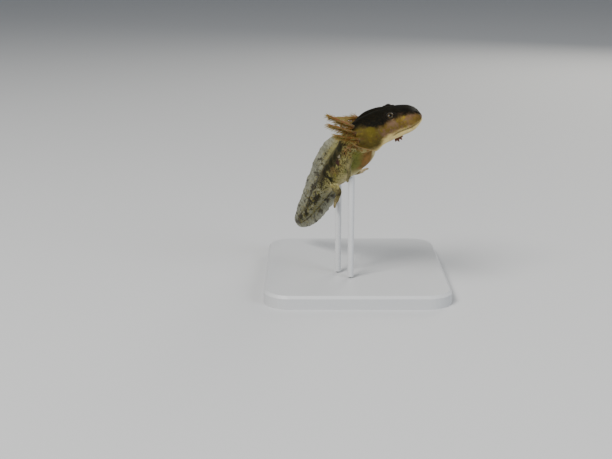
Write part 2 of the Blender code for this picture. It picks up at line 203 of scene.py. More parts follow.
HINDLEG_RADII = (0.92, 0.78, 0.58, 0.56, 0.40, 0.46)
FINGERS = (-38, -13, 13, 38)
TOES = (-48, -25, 0, 25, 48)
FINGER_LENGTH = 1.3
TOE_LENGTH = 1.55
TOE_RADIUS = 0.25
TOE_TAPER = (1.1, 1.0, 0.85, 0.4)
TOE_ARCH = 0.12

# Where the front legs' share of the body ends, how far along it a leg reaches from its root,
# and how far out its toes come
BETWEEN_LEGS = 20.0
LEG_STRETCH = 6.5
LEG_REACH = 5.5

# Gills: each root to the side and up, and the way of each stalk forward, outwards and up
GILL_ROOTS = ((2.9, 2.2), (3.7, 1.2), (4.1, 0.0))
GILLS_RIGHT = ((-0.68, 0.20, 0.72), (-0.70, 0.34, 0.63), (-0.72, 0.46, 0.52))
GILLS_LEFT = ((-0.88, 0.40, 0.10), (-0.86, 0.50, -0.08), (-0.80, 0.56, -0.24))
GILL_LENGTHS = (5.9, 6.2, 5.6)
GILL_RADII = (0.50, 0.46, 0.41, 0.35, 0.29, 0.22, 0.13)
GILL_STUB_RADII = (0.75, 0.68, 0.45)
FILAMENT_LENGTH = 2.5
FILAMENT_RADIUS = 0.036
FILAMENT_SAG = 0.30
FILAMENTS_A_ROW = 70
# In sixths of the stalk: where the filaments start, how far on they go, and the last one
FILAMENT_SPAN = (1.2, 4.75, 5.98)
# Rows of filaments: which side of the stalk, and how many degrees each row hangs down
FILAMENT_ROWS = ((1, -40), (1, 22), (-1, -40), (-1, 22))

# Colours of the skin, as linear red, green and blue
CROWN = (0.004, 0.004, 0.003)
CROWN_BROWN = (0.011, 0.009, 0.005)
BLACK = (0.012, 0.012, 0.010)
BAND = (0.026, 0.024, 0.012)
BLACK_BROWN = (0.028, 0.023, 0.012)
CHEEK_BROWN = (0.094, 0.061, 0.015)
CHEEK_MAUVE = (0.114, 0.066, 0.042)
CHEEK_OLIVE = (0.066, 0.052, 0.013)
CHEEK_YELLOW = (0.106, 0.078, 0.012)
JAW_PALE = (0.640, 0.510, 0.215)
THROAT = (0.400, 0.290, 0.140)
THROAT_DULL = (0.235, 0.150, 0.085)
FLANK_OLIVE = (0.225, 0.205, 0.072)
FLANK_DULL = (0.105, 0.092, 0.036)
FLANK_PALE = (0.300, 0.270, 0.115)
BACK_OLIVE = (0.068, 0.060, 0.026)
RUST = (0.210, 0.092, 0.028)
CHEST_RUST = (0.185, 0.092, 0.030)
CHEST_BROWN = (0.115, 0.070, 0.024)
UMBER = (0.060, 0.035, 0.013)
FOLD_RIM = (0.340, 0.215, 0.095)
GUT_GREEN = (0.118, 0.128, 0.030)
# The belly's pale colour, also laid on as the painted sheen along the belly's edge
BELLY_AND_SHEEN = (0.430, 0.375, 0.200)
BELLY_DULL = (0.215, 0.185, 0.095)
TAIL_GREY = (0.185, 0.186, 0.132)
TAIL_OLIVE = (0.145, 0.137, 0.052)
LEG_PALE = (0.170, 0.138, 0.072)
LEG_OLIVE = (0.150, 0.134, 0.058)
LEG_DULL = (0.085, 0.078, 0.036)
GOLD = (0.260, 0.210, 0.035)
FILM_LIGHT = (0.262, 0.262, 0.184)
FILM_DARK = (0.155, 0.155, 0.098)
FILM_REAR = (0.180, 0.182, 0.126)
# Painted shade in the groove of the mouth
MOUTH_GROOVE_SHADE = (0.030, 0.018, 0.010)

# How far to the left of the middle the belly's pale strip lies: the pale belly, with a
# painted sheen along the belly's edge
BELLY_SHEEN_STRIP = 1.3
# From where to where the trunk's colours turn to the tail's
TAIL_TURNS = (24.0, 31.0)
# The pattern of the large patches, which runs on from the skin to the fin: how it is pushed
# about, then the scale, detail and roughness of its noise
PATCH_WARP = (1.0, 0.5)
PATCH_NOISE = (0.85, 3.0, 0.62)
GOLD_NOISE = (2.2, 2.0, 0.55)

# Colours of the gills, eyes, stand and room
STALK_ROOT = (0.035, 0.026, 0.010)
STALK_ORANGE = (0.135, 0.048, 0.015)
STALK_MOTTLE = (0.080, 0.060, 0.018)
FILAMENT_ORANGE = (0.205, 0.080, 0.020)
FILAMENT_OLIVE = (0.125, 0.097, 0.020)
FILAMENT_TIP = (0.200, 0.165, 0.048)
IRIS_DARK = (0.010, 0.008, 0.005)
IRIS_GOLD = (0.045, 0.031, 0.010)
PUPIL_RING = (0.080, 0.052, 0.016)
EYE_RIM = (0.010, 0.009, 0.008)
PUPIL = (0.002, 0.002, 0.002)
BASE_GREY = (0.46, 0.47, 0.48)
ROD_GREY = (0.50, 0.51, 0.52)
FLOOR_GREY = (0.50, 0.51, 0.52)
SKY = (0.86, 0.90, 0.95)

# Finishes: what is the same all over each material
SKIN_FINISH = {
    "Roughness": 0.55,
    "IOR": 1.07,
    "Subsurface Weight": 0.20,
    "Subsurface Radius": (1.0, 0.55, 0.25),
    "Subsurface Scale": 0.0005,
}
FIN_FINISH = {"Roughness": 0.5, "Specular IOR Level": 0.1}
GILL_FINISH = {
    "Roughness": 0.5,
    "Specular IOR Level": 0.12,
    "Subsurface Weight": 0.15,
    "Subsurface Radius": (1.0, 0.4, 0.2),
    "Subsurface Scale": 0.0003,
}
EYE_FINISH = {
    "Roughness": 0.30,
    "Specular IOR Level": 0.1,
    "Coat Weight": 0.09,
    "Coat Roughness": 0.04,
}

# Single marks, laid on before the speckles: where on the straight body, how large, and their
# colour
BLOTCHES = (
    ((-3.3, -3.4, 1.4), 0.60, (0.170, 0.122, 0.012)),
    ((-1.3, -2.3, 0.7), 0.70, (0.110, 0.060, 0.016)),
    ((-2.4, -3.0, 0.4), 0.90, (0.140, 0.088, 0.024)),
    ((-5.5, -3.9, 1.2), 0.90, (0.118, 0.072, 0.048)),
    ((-9.1, -4.4, 1.2), 0.85, (0.088, 0.070, 0.010)),
    ((-10.7, -4.4, 0.5), 0.50, (0.055, 0.030, 0.012)),
    ((-13.6, -3.7, -0.5), 0.50, (0.300, 0.170, 0.100)),
    ((-19.9, -3.7, 0.0), 1.10, (0.125, 0.085, 0.032)),
    ((-20.6, -3.6, -0.7), 0.60, (0.150, 0.140, 0.022)),
    ((-16.2, -3.6, 0.6), 0.45, (0.280, 0.250, 0.180)),
)
# Single marks laid on last: round the eyes, on the left hand as painted shade where it lies
# under the head, on the right and left hind feet, and down the right side
LAST_BLOTCHES = (
    ((-5.5, -2.8, 2.6), 1.35, (0.010, 0.008, 0.006)),
    ((-5.5, 2.8, 2.6), 1.35, (0.010, 0.008, 0.006)),
    # Painted shade: the left hand darkened to a dull red, where it lies under the head
    ((-11.5, 6.8, -4.4), 1.60, (0.120, 0.050, 0.036)),
    ((-22.7, -3.4, -3.5), 0.75, (0.030, 0.022, 0.012)),
    ((-25.6, 7.2, -2.8), 1.50, (0.400, 0.320, 0.190)),
    ((-17.3, -3.7, 0.2), 0.60, (0.035, 0.014, 0.016)),
    ((-12.8, -3.6, 1.2), 0.95, (0.008, 0.008, 0.004)),
    ((-14.7, -3.5, 1.1), 0.90, (0.014, 0.015, 0.008)),
    ((-17.0, -3.4, 1.5), 0.90, (0.012, 0.012, 0.006)),
    ((-19.1, -3.2, 1.8), 1.20, (0.010, 0.010, 0.004)),
    ((-21.1, -3.0, 1.6), 0.80, (0.016, 0.015, 0.007)),
    ((-23.0, -2.9, 1.3), 1.10, (0.012, 0.011, 0.005)),
    ((-22.6, -3.2, -0.9), 0.70, (0.012, 0.014, 0.006)),
)

# The tail's marks are drawn out along the body, so their pattern is shortened by this share
MARKS_DRAWN_OUT = 0.6
# Dark clumps on the tail and its fin: distance from the snout, height, and radius
TAIL_CLUMPS = (
    (28.2, 0.0, 0.40),
    (29.0, 1.8, 0.60),
    (29.4, -2.5, 0.55),
    (31.5, -2.0, 0.50),
    (34.3, -0.1, 0.50),
    (35.3, 1.4, 0.85),
    (37.7, 0.9, 0.65),
    (36.1, -2.0, 0.65),
    (39.3, 0.3, 0.50),
    (43.2, 0.5, 0.75),
    (46.9, 0.2, 0.75),
)

# The pins on top of the stand's rods, and how far each goes below and above the rod's top
PIN_RADIUS = 0.5
PIN_REACH = (1.6, 0.7)

# The camera: its tilt down, its focal length in pixels of the picture, and its distance from
# the snout
CAMERA_TILT = math.radians(15.5)
CAMERA_PIXELS = 1026.0
CAMERA_AWAY = 190.0
SENSOR_WIDTH = 36.0
SNOUT_IN_PICTURE = (421.5, 114.5)
PICTURE = (612, 459)

# Lamps, in metres and watts: name, place, size, power and colour
LAMPS = (
    ("Key", (-0.25, -0.30, 0.45), 0.24, 5.0, (1.0, 0.97, 0.92)),
    ("Fill", (0.40, -0.35, 0.25), 0.30, 2.0, (0.93, 0.96, 1.0)),
    ("Rim", (0.22, 0.38, 0.22), 0.20, 0.8, (1.0, 0.95, 0.85)),
)
LAMPS_AIM = (0.0, 0.0, 0.022)
SKY_STRENGTH = 0.32
FLOOR_SIZE = 6.0


# Measuring the body


def hermite(table, at, column):
    """A smooth curve through a table's column that never overshoots its rows."""
    rows = [(row[0], row[column]) for row in table]
    if at <= rows[0][0]:
        return rows[0][1]
    if at >= rows[-1][0]:
        return rows[-1][1]
    slopes = [(b[1] - a[1]) / (b[0] - a[0]) for a, b in zip(rows, rows[1:])]
    tangents = [slopes[0]]
    for before, after in zip(slopes, slopes[1:]):
        same_way = before * after > 0
        tangents.append(2 * before * after / (before + after) if same_way else 0.0)
    tangents.append(slopes[-1])
    i = max(k for k in range(len(rows) - 1) if rows[k][0] <= at)
    (x0, y0), (x1, y1) = rows[i], rows[i + 1]
    width = x1 - x0
    t = (at - x0) / width
    return (
        y0 * (1 + 2 * t) * (1 - t) ** 2
        + y1 * t * t * (3 - 2 * t)
        + tangents[i] * width * t * (1 - t) ** 2
        - tangents[i + 1] * width * t * t * (1 - t)
    )


def curve_values(table, column, at):
    """The same curve for many distances at once, read from a fine table of it."""
    fine = np.linspace(-1.0, TOTAL_LENGTH + 1.0, 1001)
    return np.interp(at, fine, [hermite(table, d, column) for d in fine])


def axes_at(distance):
    """Forward, right and back directions of the body at a distance from the snout."""
    pitch, yaw, roll = (math.radians(hermite(POSE, distance, c)) for c in (1, 2, 3))
    level = math.cos(pitch)
    forward = Vector((level * math.cos(yaw), -level * math.sin(yaw), math.sin(pitch)))
    level_right = forward.cross(Vector((0, 0, 1))).normalized()
    back = level_right.cross(forward) * math.cos(roll) + level_right * math.sin(roll)
    return np.array(forward), np.array(forward.cross(back)), np.array(back)


def spine_points():
    points = [SNOUT_TIP]
    for k in range(round(TOTAL_LENGTH / SPINE_STEP)):
        points.append(points[-1] - axes_at((k + 0.5) * SPINE_STEP)[0] * SPINE_STEP)
    return np.array(points)


SPINE = spine_points()
SPINE_AT = np.arange(len(SPINE)) * SPINE_STEP
SPINE_AXES = np.array([axes_at(d) for d in SPINE_AT])


def unit(vector):
    return vector / np.linalg.norm(vector)


def bent(points):
    """Straight points moved to the pose, each with the spine at its own distance."""
    distance = np.clip(-points[:, 0], 0.0, TOTAL_LENGTH)
    past = points[:, 0] + distance
    place = [np.interp(distance, SPINE_AT, SPINE[:, k]) for k in range(3)]
    made = np.stack(place, 1)
    for axis, amount in ((0, past), (1, -points[:, 1]), (2, points[:, 2])):
        ways = [np.interp(distance, SPINE_AT, SPINE_AXES[:, axis, k]) for k in range(3)]
        way = np.stack(ways, 1)
        way /= np.linalg.norm(way, axis=1, keepdims=True)
        made += way * amount[:, None]
    return made


def rigid(points, root):
    """Straight points moved to the pose as one stiff piece, with the spine at its root."""
    ahead, right, back = axes_at(root)
    start = np.array([np.interp(root, SPINE_AT, SPINE[:, k]) for k in range(3)])
    forward = points[:, :1] + root
    return start + forward * ahead - points[:, 1:2] * right + points[:, 2:3] * back


def rounding(distance, length):
    share = np.clip(distance / length, 0.0, 1.0)
    return np.sqrt(np.maximum(0.0, 1 - (1 - share) ** 2))


def sections(distance):
    """Half width, height of the back, depth of the belly and droop, at each distance."""
    side = rounding(distance, SNOUT_ROUND_SIDE)
    top = rounding(distance, SNOUT_ROUND_TOP)
    return (
        curve_values(PROFILE, 1, distance) * side,
        curve_values(PROFILE, 2, distance) * top,
        curve_values(PROFILE, 3, distance) * top,
        SNOUT_DROOP * (1 - top),
    )


def outline_point(distance, angle):
    """Right and back coordinates of the outline, at an angle in radians from the right."""
    half_width, height, depth, droop = sections(distance)
    power = 2 / SECTION_POWER
    across, up = np.cos(angle), np.sin(angle)
    right = np.sign(across) * np.abs(across) ** power * half_width
    back = np.sign(up) * np.abs(up) ** power * np.where(up > 0, height, depth)
    return right, back - droop


def smooth_step(value, low, high):
    t = np.clip((value - low) / (high - low), 0.0, 1.0)
    return t * t * (3 - 2 * t)


def bump(value, centre, width):
    return np.exp(-(((value - centre) / width) ** 2))


def folds(value, rows):
    """Ridges and grooves along a value: how far out each is, its place and its width."""
    return sum(out * bump(value, centre, width) for out, centre, width in rows)


def lips_at(distance):
    """How high the line of the mouth lies on the side of the head."""
    level = outline_point(distance, np.full(len(distance), math.radians(MOUTH_ANGLE)))[1]
    dip, start, end = MOUTH_DIP
    return level - dip * smooth_step(distance, start, end)


def from_eye(points):
    """Distance, sideways and up from the middle of the nearer eye."""
    distance = np.maximum(-points[:, 0], 0.0)
    spot = np.stack([distance, np.abs(points[:, 1]), points[:, 2]], 1)
    return spot - np.array((EYES, *EYE_PLACE))


# Handling pieces


def select_none():
    bpy.ops.object.select_all(action="DESELECT")


def only(obj):
    """Makes this the one selected and active object, in object mode."""
    if bpy.context.mode != "OBJECT":
        bpy.ops.object.mode_set(mode="OBJECT")
    select_none()
    obj.select_set(True)
    bpy.context.view_layer.objects.active = obj
    return obj


def named(name):
    """The object that an operator has just added, under its own name."""
    obj = bpy.context.active_object
    obj.name = name
    obj.data.name = name
    return obj


def settled(name):
    """The primitive that has just been added, with its place and turn kept in its mesh."""
    obj = named(name)
    bpy.ops.object.transform_apply(location=True, rotation=True, scale=True)
    return obj


def apply_modifier(obj, kind, **settings):
    only(obj)
    modifier = obj.modifiers.new(kind.lower(), kind)
    for key, value in settings.items():
        setattr(modifier, key, value)
    bpy.ops.object.modifier_apply(modifier=modifier.name)


def vectors(items, kind):
    """A vector of each vertex or face, such as its place or its normal."""
    flat = np.empty(len(items) * 3)
    items.foreach_get(kind, flat)
    return flat.reshape(-1, 3)


def places(obj):
    return vectors(obj.data.vertices, "co")


def move_to(obj, points):
    obj.data.vertices.foreach_set("co", np.asarray(points, np.float32).ravel())
    obj.data.update()


def mark(obj, name, values):
    """Keeps a vector for each point of the mesh, for the material to read."""
    layer = obj.data.attributes.new(name, "FLOAT_VECTOR", "POINT")
    layer.data.foreach_set("vector", np.asarray(values, np.float32).ravel())


def columns(*values):
    """Three rows of numbers, or single numbers, set side by side as vectors."""
    return np.stack(np.broadcast_arrays(*values), 1)


def join(objects, name):
    only(objects[0])
    for obj in objects:
        obj.select_set(True)
    bpy.ops.object.join()
    return named(name)


def finish_piece(obj, material, nodes):
    """Smooth shading, its material, and what the piece stands for."""
    only(obj)
    bpy.ops.object.shade_smooth()
    obj.data.materials.clear()
    obj.data.materials.append(material)
    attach(obj, "root")
    if nodes:
        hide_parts(*nodes)


def draw_tube(name, points, radii, sides=4, samples=5):
    """A round limb through points, drawn as a curve with a bevel and made a mesh."""
    line = np.array(points, float)
    at = np.linspace(0, len(line) - 1, (len(line) - 1) * samples + 1)
    ends = np.vstack([2 * line[0] - line[1], line, 2 * line[-1] - line[-2]])
    curve = bpy.data.curves.new(name, "CURVE")
    curve.dimensions = "3D"
    curve.bevel_depth = 1.0
    curve.bevel_resolution = sides
    curve.use_fill_caps = True
    spline = curve.splines.new("POLY")
    spline.points.add(len(at) - 1)
    for k, t in enumerate(at):
        i = min(int(t), len(line) - 2)
        u = t - i
        p0, p1, p2, p3 = ends[i : i + 4]
        point = 0.5 * (
            2 * p1
            + (p2 - p0) * u
            + (2 * p0 - 5 * p1 + 4 * p2 - p3) * u * u
            + (3 * p1 - p0 - 3 * p2 + p3) * u**3
        )
        spline.points[k].co = (*point, 1.0)
        spline.points[k].radius = float(np.interp(t, range(len(radii)), radii))
    obj = bpy.data.objects.new(name, curve)
    bpy.context.scene.collection.objects.link(obj)
    only(obj)
    bpy.ops.object.convert(target="MESH")
    return named(name)


# The skin


def body_form():
    """The body from snout to tail: a disc drawn out ring by ring, then each ring shaped."""
    select_none()
    bpy.ops.mesh.primitive_circle_add(
        vertices=64, radius=1.0, fill_type="NGON", rotation=(0.0, math.pi / 2, 0.0)
    )
    body = settled("skin")
    bpy.ops.object.mode_set(mode="EDIT")
    bpy.ops.mesh.select_all(action="SELECT")
    stations = [0.02, 0.1, 0.25, 0.45, 0.7, 1.0, 1.35, 1.75, 2.2]
    stations += list(np.linspace(2.7, TAIL_CORE_END - 0.3, 90))
    before = 0.0
    for distance in stations:
        step = (before - distance, 0.0, 0.0)
        bpy.ops.mesh.extrude_region_move(TRANSFORM_OT_translate={"value": step})
        before = distance
    bpy.ops.object.mode_set(mode="OBJECT")
    points = places(body)
    distance = np.maximum(-points[:, 0], 0.005)
    right, back = outline_point(distance, np.arctan2(points[:, 2], -points[:, 1]))
    move_to(body, np.stack([-distance, -right, back], 1))
    return body


def limb_forms(root, side, joints, radii, fan, toe_length):
    """One leg with its palm and toes, before the body is bent."""
    sideways = -side
    points = [np.array((f - root, sideways * r, b)) for f, r, b in joints[:4]]
    shoulder, middle, elbow, wrist = points
    forward, outward, back = joints[4]
    way = unit(np.array((forward, sideways * outward, back)))
    palm = wrist + way * 0.55
    path = [shoulder, middle, elbow, elbow * 0.6 + wrist * 0.4, wrist, palm]
    made = [draw_tube("limb", path, radii)]
    palm_back = np.array((0.3, sideways * 0.6, 1.0))
    across = unit(np.cross(way, palm_back))
    lift = unit(palm_back) * TOE_ARCH
    rounds = [TOE_RADIUS * share for share in TOE_TAPER]
    for degrees in fan:
        angle = math.radians(degrees)
        toe_way = way * math.cos(angle) + across * math.sin(angle)
        start = wrist + way * 0.30 + across * math.sin(angle) * 0.35
        length = toe_length * (1.0 - 0.25 * abs(degrees) / TOES[-1])
        toe = [start, start + toe_way * length * 0.5 + lift, start + toe_way * length]
        toe.append(toe[-1] + toe_way * 0.18 - lift)
        made.append(draw_tube("toe", toe, rounds, sides=2, samples=3))
    return made


def gill_stub(side, place, way):
    """The fleshy root of a gill, which belongs to the skin of the head."""
    right, back = place
    forward, outward, upward = way
    along = unit(np.array((forward, -side * outward, upward)))
    start = np.array((-GILLS, -side * right, back)) - along * 1.2
    path = [start, start + along * 1.2, start + along * 1.9]
    return draw_tube("gill_root", path, GILL_STUB_RADII)


def gill_rows():
    """Name, side, root and way of each gill, and its length."""
    for side, word, ways in ((1, "right", GILLS_RIGHT), (-1, "left", GILLS_LEFT)):
        for k, row in enumerate(zip(GILL_ROOTS, ways, GILL_LENGTHS), 1):
            yield f"gill_{word}_{k}", side, *row


def legs():
    """Root distance, side, joints, radii, toes and the toes' length, for each leg."""
    front = (FORELEG_RADII, FINGERS, FINGER_LENGTH)
    rear = (HINDLEG_RADII, TOES, TOE_LENGTH)
    return (
        (SHOULDER, 1, FORELEG_RIGHT, *front),
        (SHOULDER, -1, FORELEG_LEFT, *front),
        (HIP, 1, HINDLEG_RIGHT, *rear),
        (HIP, -1, HINDLEG_LEFT, *rear),
    )


def skin_folds(points, facing):
    """How far each point of the skin is pushed out by the folds, and where the mouth's groove
    is, which gets painted shade.
    """
    distance = np.maximum(-points[:, 0], 0.0)
    left, up = points[:, 1], points[:, 2]
    half_width = sections(distance)[0]

    above = up - lips_at(distance)
    on_mouth = 1 - smooth_step(distance, MOUTH_CORNER - 0.7, MOUTH_CORNER)
    mouth = bump(above, LIP_FOLDS[0][1], LIP_FOLDS[0][2]) * on_mouth
    push = folds(above, LIP_FOLDS) * on_mouth
    push += 0.10 * bump(distance, MOUTH_CORNER + 0.25, 0.35) * bump(above, -0.1, 0.5)

    away = np.hypot(distance - NOSTRIL[0], np.abs(left) - NOSTRIL[1])
    push += folds(away, NOSTRIL_FOLDS) * (up > 0.2)

    offset = from_eye(points)
    looks = unit(np.array((-EYE_LOOKS[0], EYE_LOOKS[1], EYE_LOOKS[2])))
    along = offset @ looks
    from_axis = np.linalg.norm(offset - along[:, None] * looks, axis=1)
    socket = SOCKET_DEPTH * (1 - smooth_step(from_axis, *SOCKET_EDGE))
    push += (folds(from_axis, LID_FOLDS) - socket) * (along > -0.2)

    # The groove along the middle of the crown, and a swelling on each side of it
    crown = (np.abs(left) < 2.2) & (up > 0)
    push -= 0.10 * bump(left, 0.0, 0.45) * bump(distance, 9.6, 2.6) * crown
    push += 0.16 * bump(np.abs(left), 1.9, 0.9) * bump(distance, 9.8, 1.7) * (up > 0)

    # The gill fold, from the throat up to the gills, and the full throat behind it
    throat, side = GILL_FOLD
    fold_at = throat + (side - throat) * smooth_step(up, *GILL_FOLD_RISE)
    fold_at = fold_at - 1.3 * smooth_step(up, 0.0, 1.6)
    under = 1 - smooth_step(up, 0.9, 1.9)
    on_body = 1 - smooth_step(np.abs(left), half_width + 0.15, half_width + 0.4)
    push += folds(distance - fold_at, THROAT_FOLDS) * under * on_body
    below = 1 - smooth_step(up, -2.4, -0.8)
    push += folds(distance, (THROAT_FULLNESS,)) * below * on_body

    ribs = 0.5 + 0.5 * np.cos(math.tau * (distance + RIB_LEAN * up) / RIB_SPACING)
    on_trunk = smooth_step(distance, 15.4, 16.6) * (1 - smooth_step(distance, 37.0, 42.0))
    flank = bump(up, 0.1, 1.25) * (np.abs(facing[:, 1]) > 0.5)
    size = np.clip(half_width / 3.6, 0.35, 1.0)
    push -= RIB_DEPTH * ribs**5 * on_trunk * flank * size * on_body
    push += folds(up, (SIDE_LINE,)) * on_trunk * (np.abs(facing[:, 1]) > 0.6) * on_body
    return push, mouth


def outside_body(points):
    """How far each point stands out of the body's own outline."""
    distance = np.clip(-points[:, 0], 0.02, TOTAL_LENGTH)
    half_width, height, depth, droop = sections(distance)
    up = points[:, 2] + droop
    tall = np.where(up > 0, height, depth)
    power = SECTION_POWER
    share = np.abs(points[:, 1] / half_width) ** power + np.abs(up / tall) ** power
    share **= 1 / power
    radius = np.hypot(points[:, 1], up)
    return radius * (1 - 1 / np.maximum(share, 1e-6))


def pose_skin(points):
    """Bends the body and carries each leg stiffly from its root."""
    made = bent(points)
    out = outside_body(points)
    distance = -points[:, 0]
    on_limb = np.zeros(len(points))
    for root, side, *_ in legs():
        lateral = -side * points[:, 1]
        reach = (np.abs(distance - root) < LEG_STRETCH) & (lateral > 0.8)
        reach &= (points[:, 2] < 0.2) & ((distance > BETWEEN_LEGS) == (root == HIP))
        share = smooth_step(out, 0.15, 1.3) * reach
        stiff = rigid(points, root)
        made += (stiff - made) * share[:, None]
        on_limb = np.maximum(on_limb, smooth_step(out, 0.1, 1.6) * reach)
    return made, on_limb


def refine(obj, wanted):
    """Cuts the faces whose centre passes the test into four."""
    only(obj)
    chosen = wanted(vectors(obj.data.polygons, "center"))
    bpy.ops.object.mode_set(mode="EDIT")
    bpy.ops.mesh.select_mode(type="FACE")
    bpy.ops.mesh.select_all(action="DESELECT")
    bpy.ops.object.mode_set(mode="OBJECT")
    obj.data.polygons.foreach_set("select", chosen)
    bpy.ops.object.mode_set(mode="EDIT")
    bpy.ops.mesh.subdivide(number_cuts=1, smoothness=0.0)
    bpy.ops.object.mode_set(mode="OBJECT")


def near_face(centres):
    """The strip of the mouth, the nostrils and round the eyes."""
    distance = np.maximum(-centres[:, 0], 0.0)
    on_mouth = (np.abs(centres[:, 2] - lips_at(distance)) < 0.45) & (distance < 7.0)
    on_eye = np.linalg.norm(from_eye(centres), axis=1) < 1.6
    on_nose = (distance < 1.6) & (centres[:, 2] > 0.1)
    return on_mouth | on_eye | on_nose


def make_skin(material):
    forms = [body_form()]
    for leg in legs():
        forms += limb_forms(*leg)
    forms += [gill_stub(side, place, way) for _, side, place, way, _ in gill_rows()]
    skin = join(forms, "skin")
    apply_modifier(skin, "REMESH", mode="VOXEL", voxel_size=VOXEL, adaptivity=0.0)
    apply_modifier(skin, "SMOOTH", factor=0.5, iterations=5)
    refine(skin, near_face)
    points = places(skin)
    facing = vectors(skin.data.vertices, "normal")
    push, mouth = skin_folds(points, facing)
    points = points + facing * push[:, None]
    move_to(skin, points)

    posed, on_limb = pose_skin(points)
    distance = np.maximum(-points[:, 0], 0.0)
    height, depth, droop = sections(np.maximum(distance, 0.3))[1:]
    up = points[:, 2] + droop
    back = np.clip(np.where(up > 0, up / height, up / depth), -1.3, 1.3)
    back = back * (1 - on_limb) + facing[:, 2] * 0.9 * on_limb
    mark(skin, "straight", points)
    reach = np.clip(outside_body(points) / LEG_REACH, 0.0, 1.0) * (on_limb > 0.3)
    mark(skin, "zone", columns(back, on_limb, mouth))
    mark(skin, "limb", columns(reach, 0.0, 0.0))
    move_to(skin, posed * TO_METRES)
    nodes = ["head", "torso", "tail"]
    nodes += ["foreleg_left", "foreleg_right", "hindleg_left", "hindleg_right"]
    finish_piece(skin, material, nodes)


# Fins


def fin_rows(distances, column, fin, side):
    """Root and edge of the fin on the back or under the belly, at each distance."""
    end = fin[-1][0]
    rows = []
    for d in distances:
        outline = hermite(PROFILE, d, column)
        root = outline * min(1.0, (end - d) / (end - FIN_ROOT_NARROWS))
        edge = outline + hermite(fin, d, 1)
        rows.append((d, side * (root - FIN_ROOT_DEPTH), d, side * edge))
    return rows


def fin_edges(share):
    """Root and edge of the whole fin, for shares along its rim from the nape to the vent."""
    upper = fin_rows(np.linspace(BACK_FIN[0][0], BACK_FIN[-1][0], 150), 2, BACK_FIN, 1)
    lower = fin_rows(np.linspace(BELLY_FIN[-1][0], BELLY_FIN[0][0], 100), 3, BELLY_FIN, -1)
    high, low = upper[-1][3], lower[0][3]
    end = []
    for a in np.linspace(0, math.pi, 24)[1:-1]:
        edge = (high + low) / 2 + (high - low) / 2 * math.cos(a)
        end.append((FIN_ROOT_END, 0.0, FIN_END + FIN_END_ROUND * math.sin(a), edge))
    rim = np.array(upper + end + lower)
    rim[:, 0] = np.minimum(rim[:, 0], FIN_ROOT_END)
    length = np.r_[0, np.cumsum(np.hypot(*np.diff(rim[:, 2:], axis=0).T))]
    at = share * length[-1]
    return np.stack([np.interp(at, length, rim[:, k]) for k in range(4)], 1)


def fin_form():
    """The fin as a rippled sheet, before the body is bent, and how far out its points are."""
    along, up = ((560, 20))
    select_none()
    bpy.ops.mesh.primitive_grid_add(x_subdivisions=along, y_subdivisions=up, size=2.0)
    fin = named("fin")
    points = places(fin)
    out = (points[:, 1] + 1) / 2
    edges = fin_edges((points[:, 0] + 1) / 2)
    distance = edges[:, 0] + (edges[:, 2] - edges[:, 0]) * out
    back = edges[:, 1] + (edges[:, 3] - edges[:, 1]) * out
    chance = random.Random(5)
    ripple = np.zeros(len(points))
    scallop = np.zeros(len(points))
    for _ in range(FIN_WAVES):
        wave, start = chance.uniform(3.0, 9.0), chance.uniform(0, math.tau)
        ripple += np.sin(distance * math.tau / wave + start) / FIN_WAVES
        start = chance.uniform(0, math.tau)
        scallop += np.sin(distance * math.tau / (wave * 0.35) + start) / FIN_WAVES
    back += np.sign(edges[:, 3] - edges[:, 1]) * scallop * FIN_SCALLOP * out**3
    sideways = ripple * FIN_RIPPLE * out**1.6
    move_to(fin, columns(-distance, sideways, back))
    return fin, out


def thicken_fin(fin, out):
    """Gives the sheet its thickness, most at the root, and turns its faces outwards."""
    group = fin.vertex_groups.new(name="thickness")
    weights = FIN_EDGE_SHARE + (1 - FIN_EDGE_SHARE) * (1 - out) ** 1.5
    for k, weight in enumerate(weights):
        group.add([k], float(weight), "REPLACE")
    settings = {"thickness": FIN_THICKNESS, "offset": 0.0, "vertex_group": group.name}
    apply_modifier(fin, "SOLIDIFY", **settings)
    only(fin)
    bpy.ops.object.mode_set(mode="EDIT")
    bpy.ops.mesh.select_all(action="SELECT")
    bpy.ops.mesh.normals_make_consistent(inside=False)
    bpy.ops.object.mode_set(mode="OBJECT")


def fin_reach(points):
    """How far out each point of the fin is, from 0 at the body to 1 at the edge."""
    distance, up = -points[:, 0], points[:, 2]
    height, depth = sections(np.minimum(distance, TAIL_CORE_END))[1:3]
    on_back = up > 0
    rise = np.where(on_back, up - height, -up - depth)
    back, belly = (curve_values(fin, 1, distance) for fin in (BACK_FIN, BELLY_FIN))
    reach = np.maximum(np.where(on_back, back, belly), 0.2)
    past_end = np.maximum(distance - TAIL_CORE_END, 0.0)
    return np.clip(np.maximum(rise / reach, past_end / 2.2), 0.0, 1.0)


def make_fin(material):
    """One membrane from the nape round the tail to the vent, thick at its root."""
    fin, out = fin_form()
    thicken_fin(fin, out)
    points = places(fin)
    mark(fin, "straight", points)
    mark(fin, "zone", columns(np.sign(points[:, 2]) * 0.6, fin_reach(points), 0.0))
    move_to(fin, bent(points) * TO_METRES)
    finish_piece(fin, material, ["dorsal_fin", "tail_fin_upper", "tail_fin_lower"])


# Gills


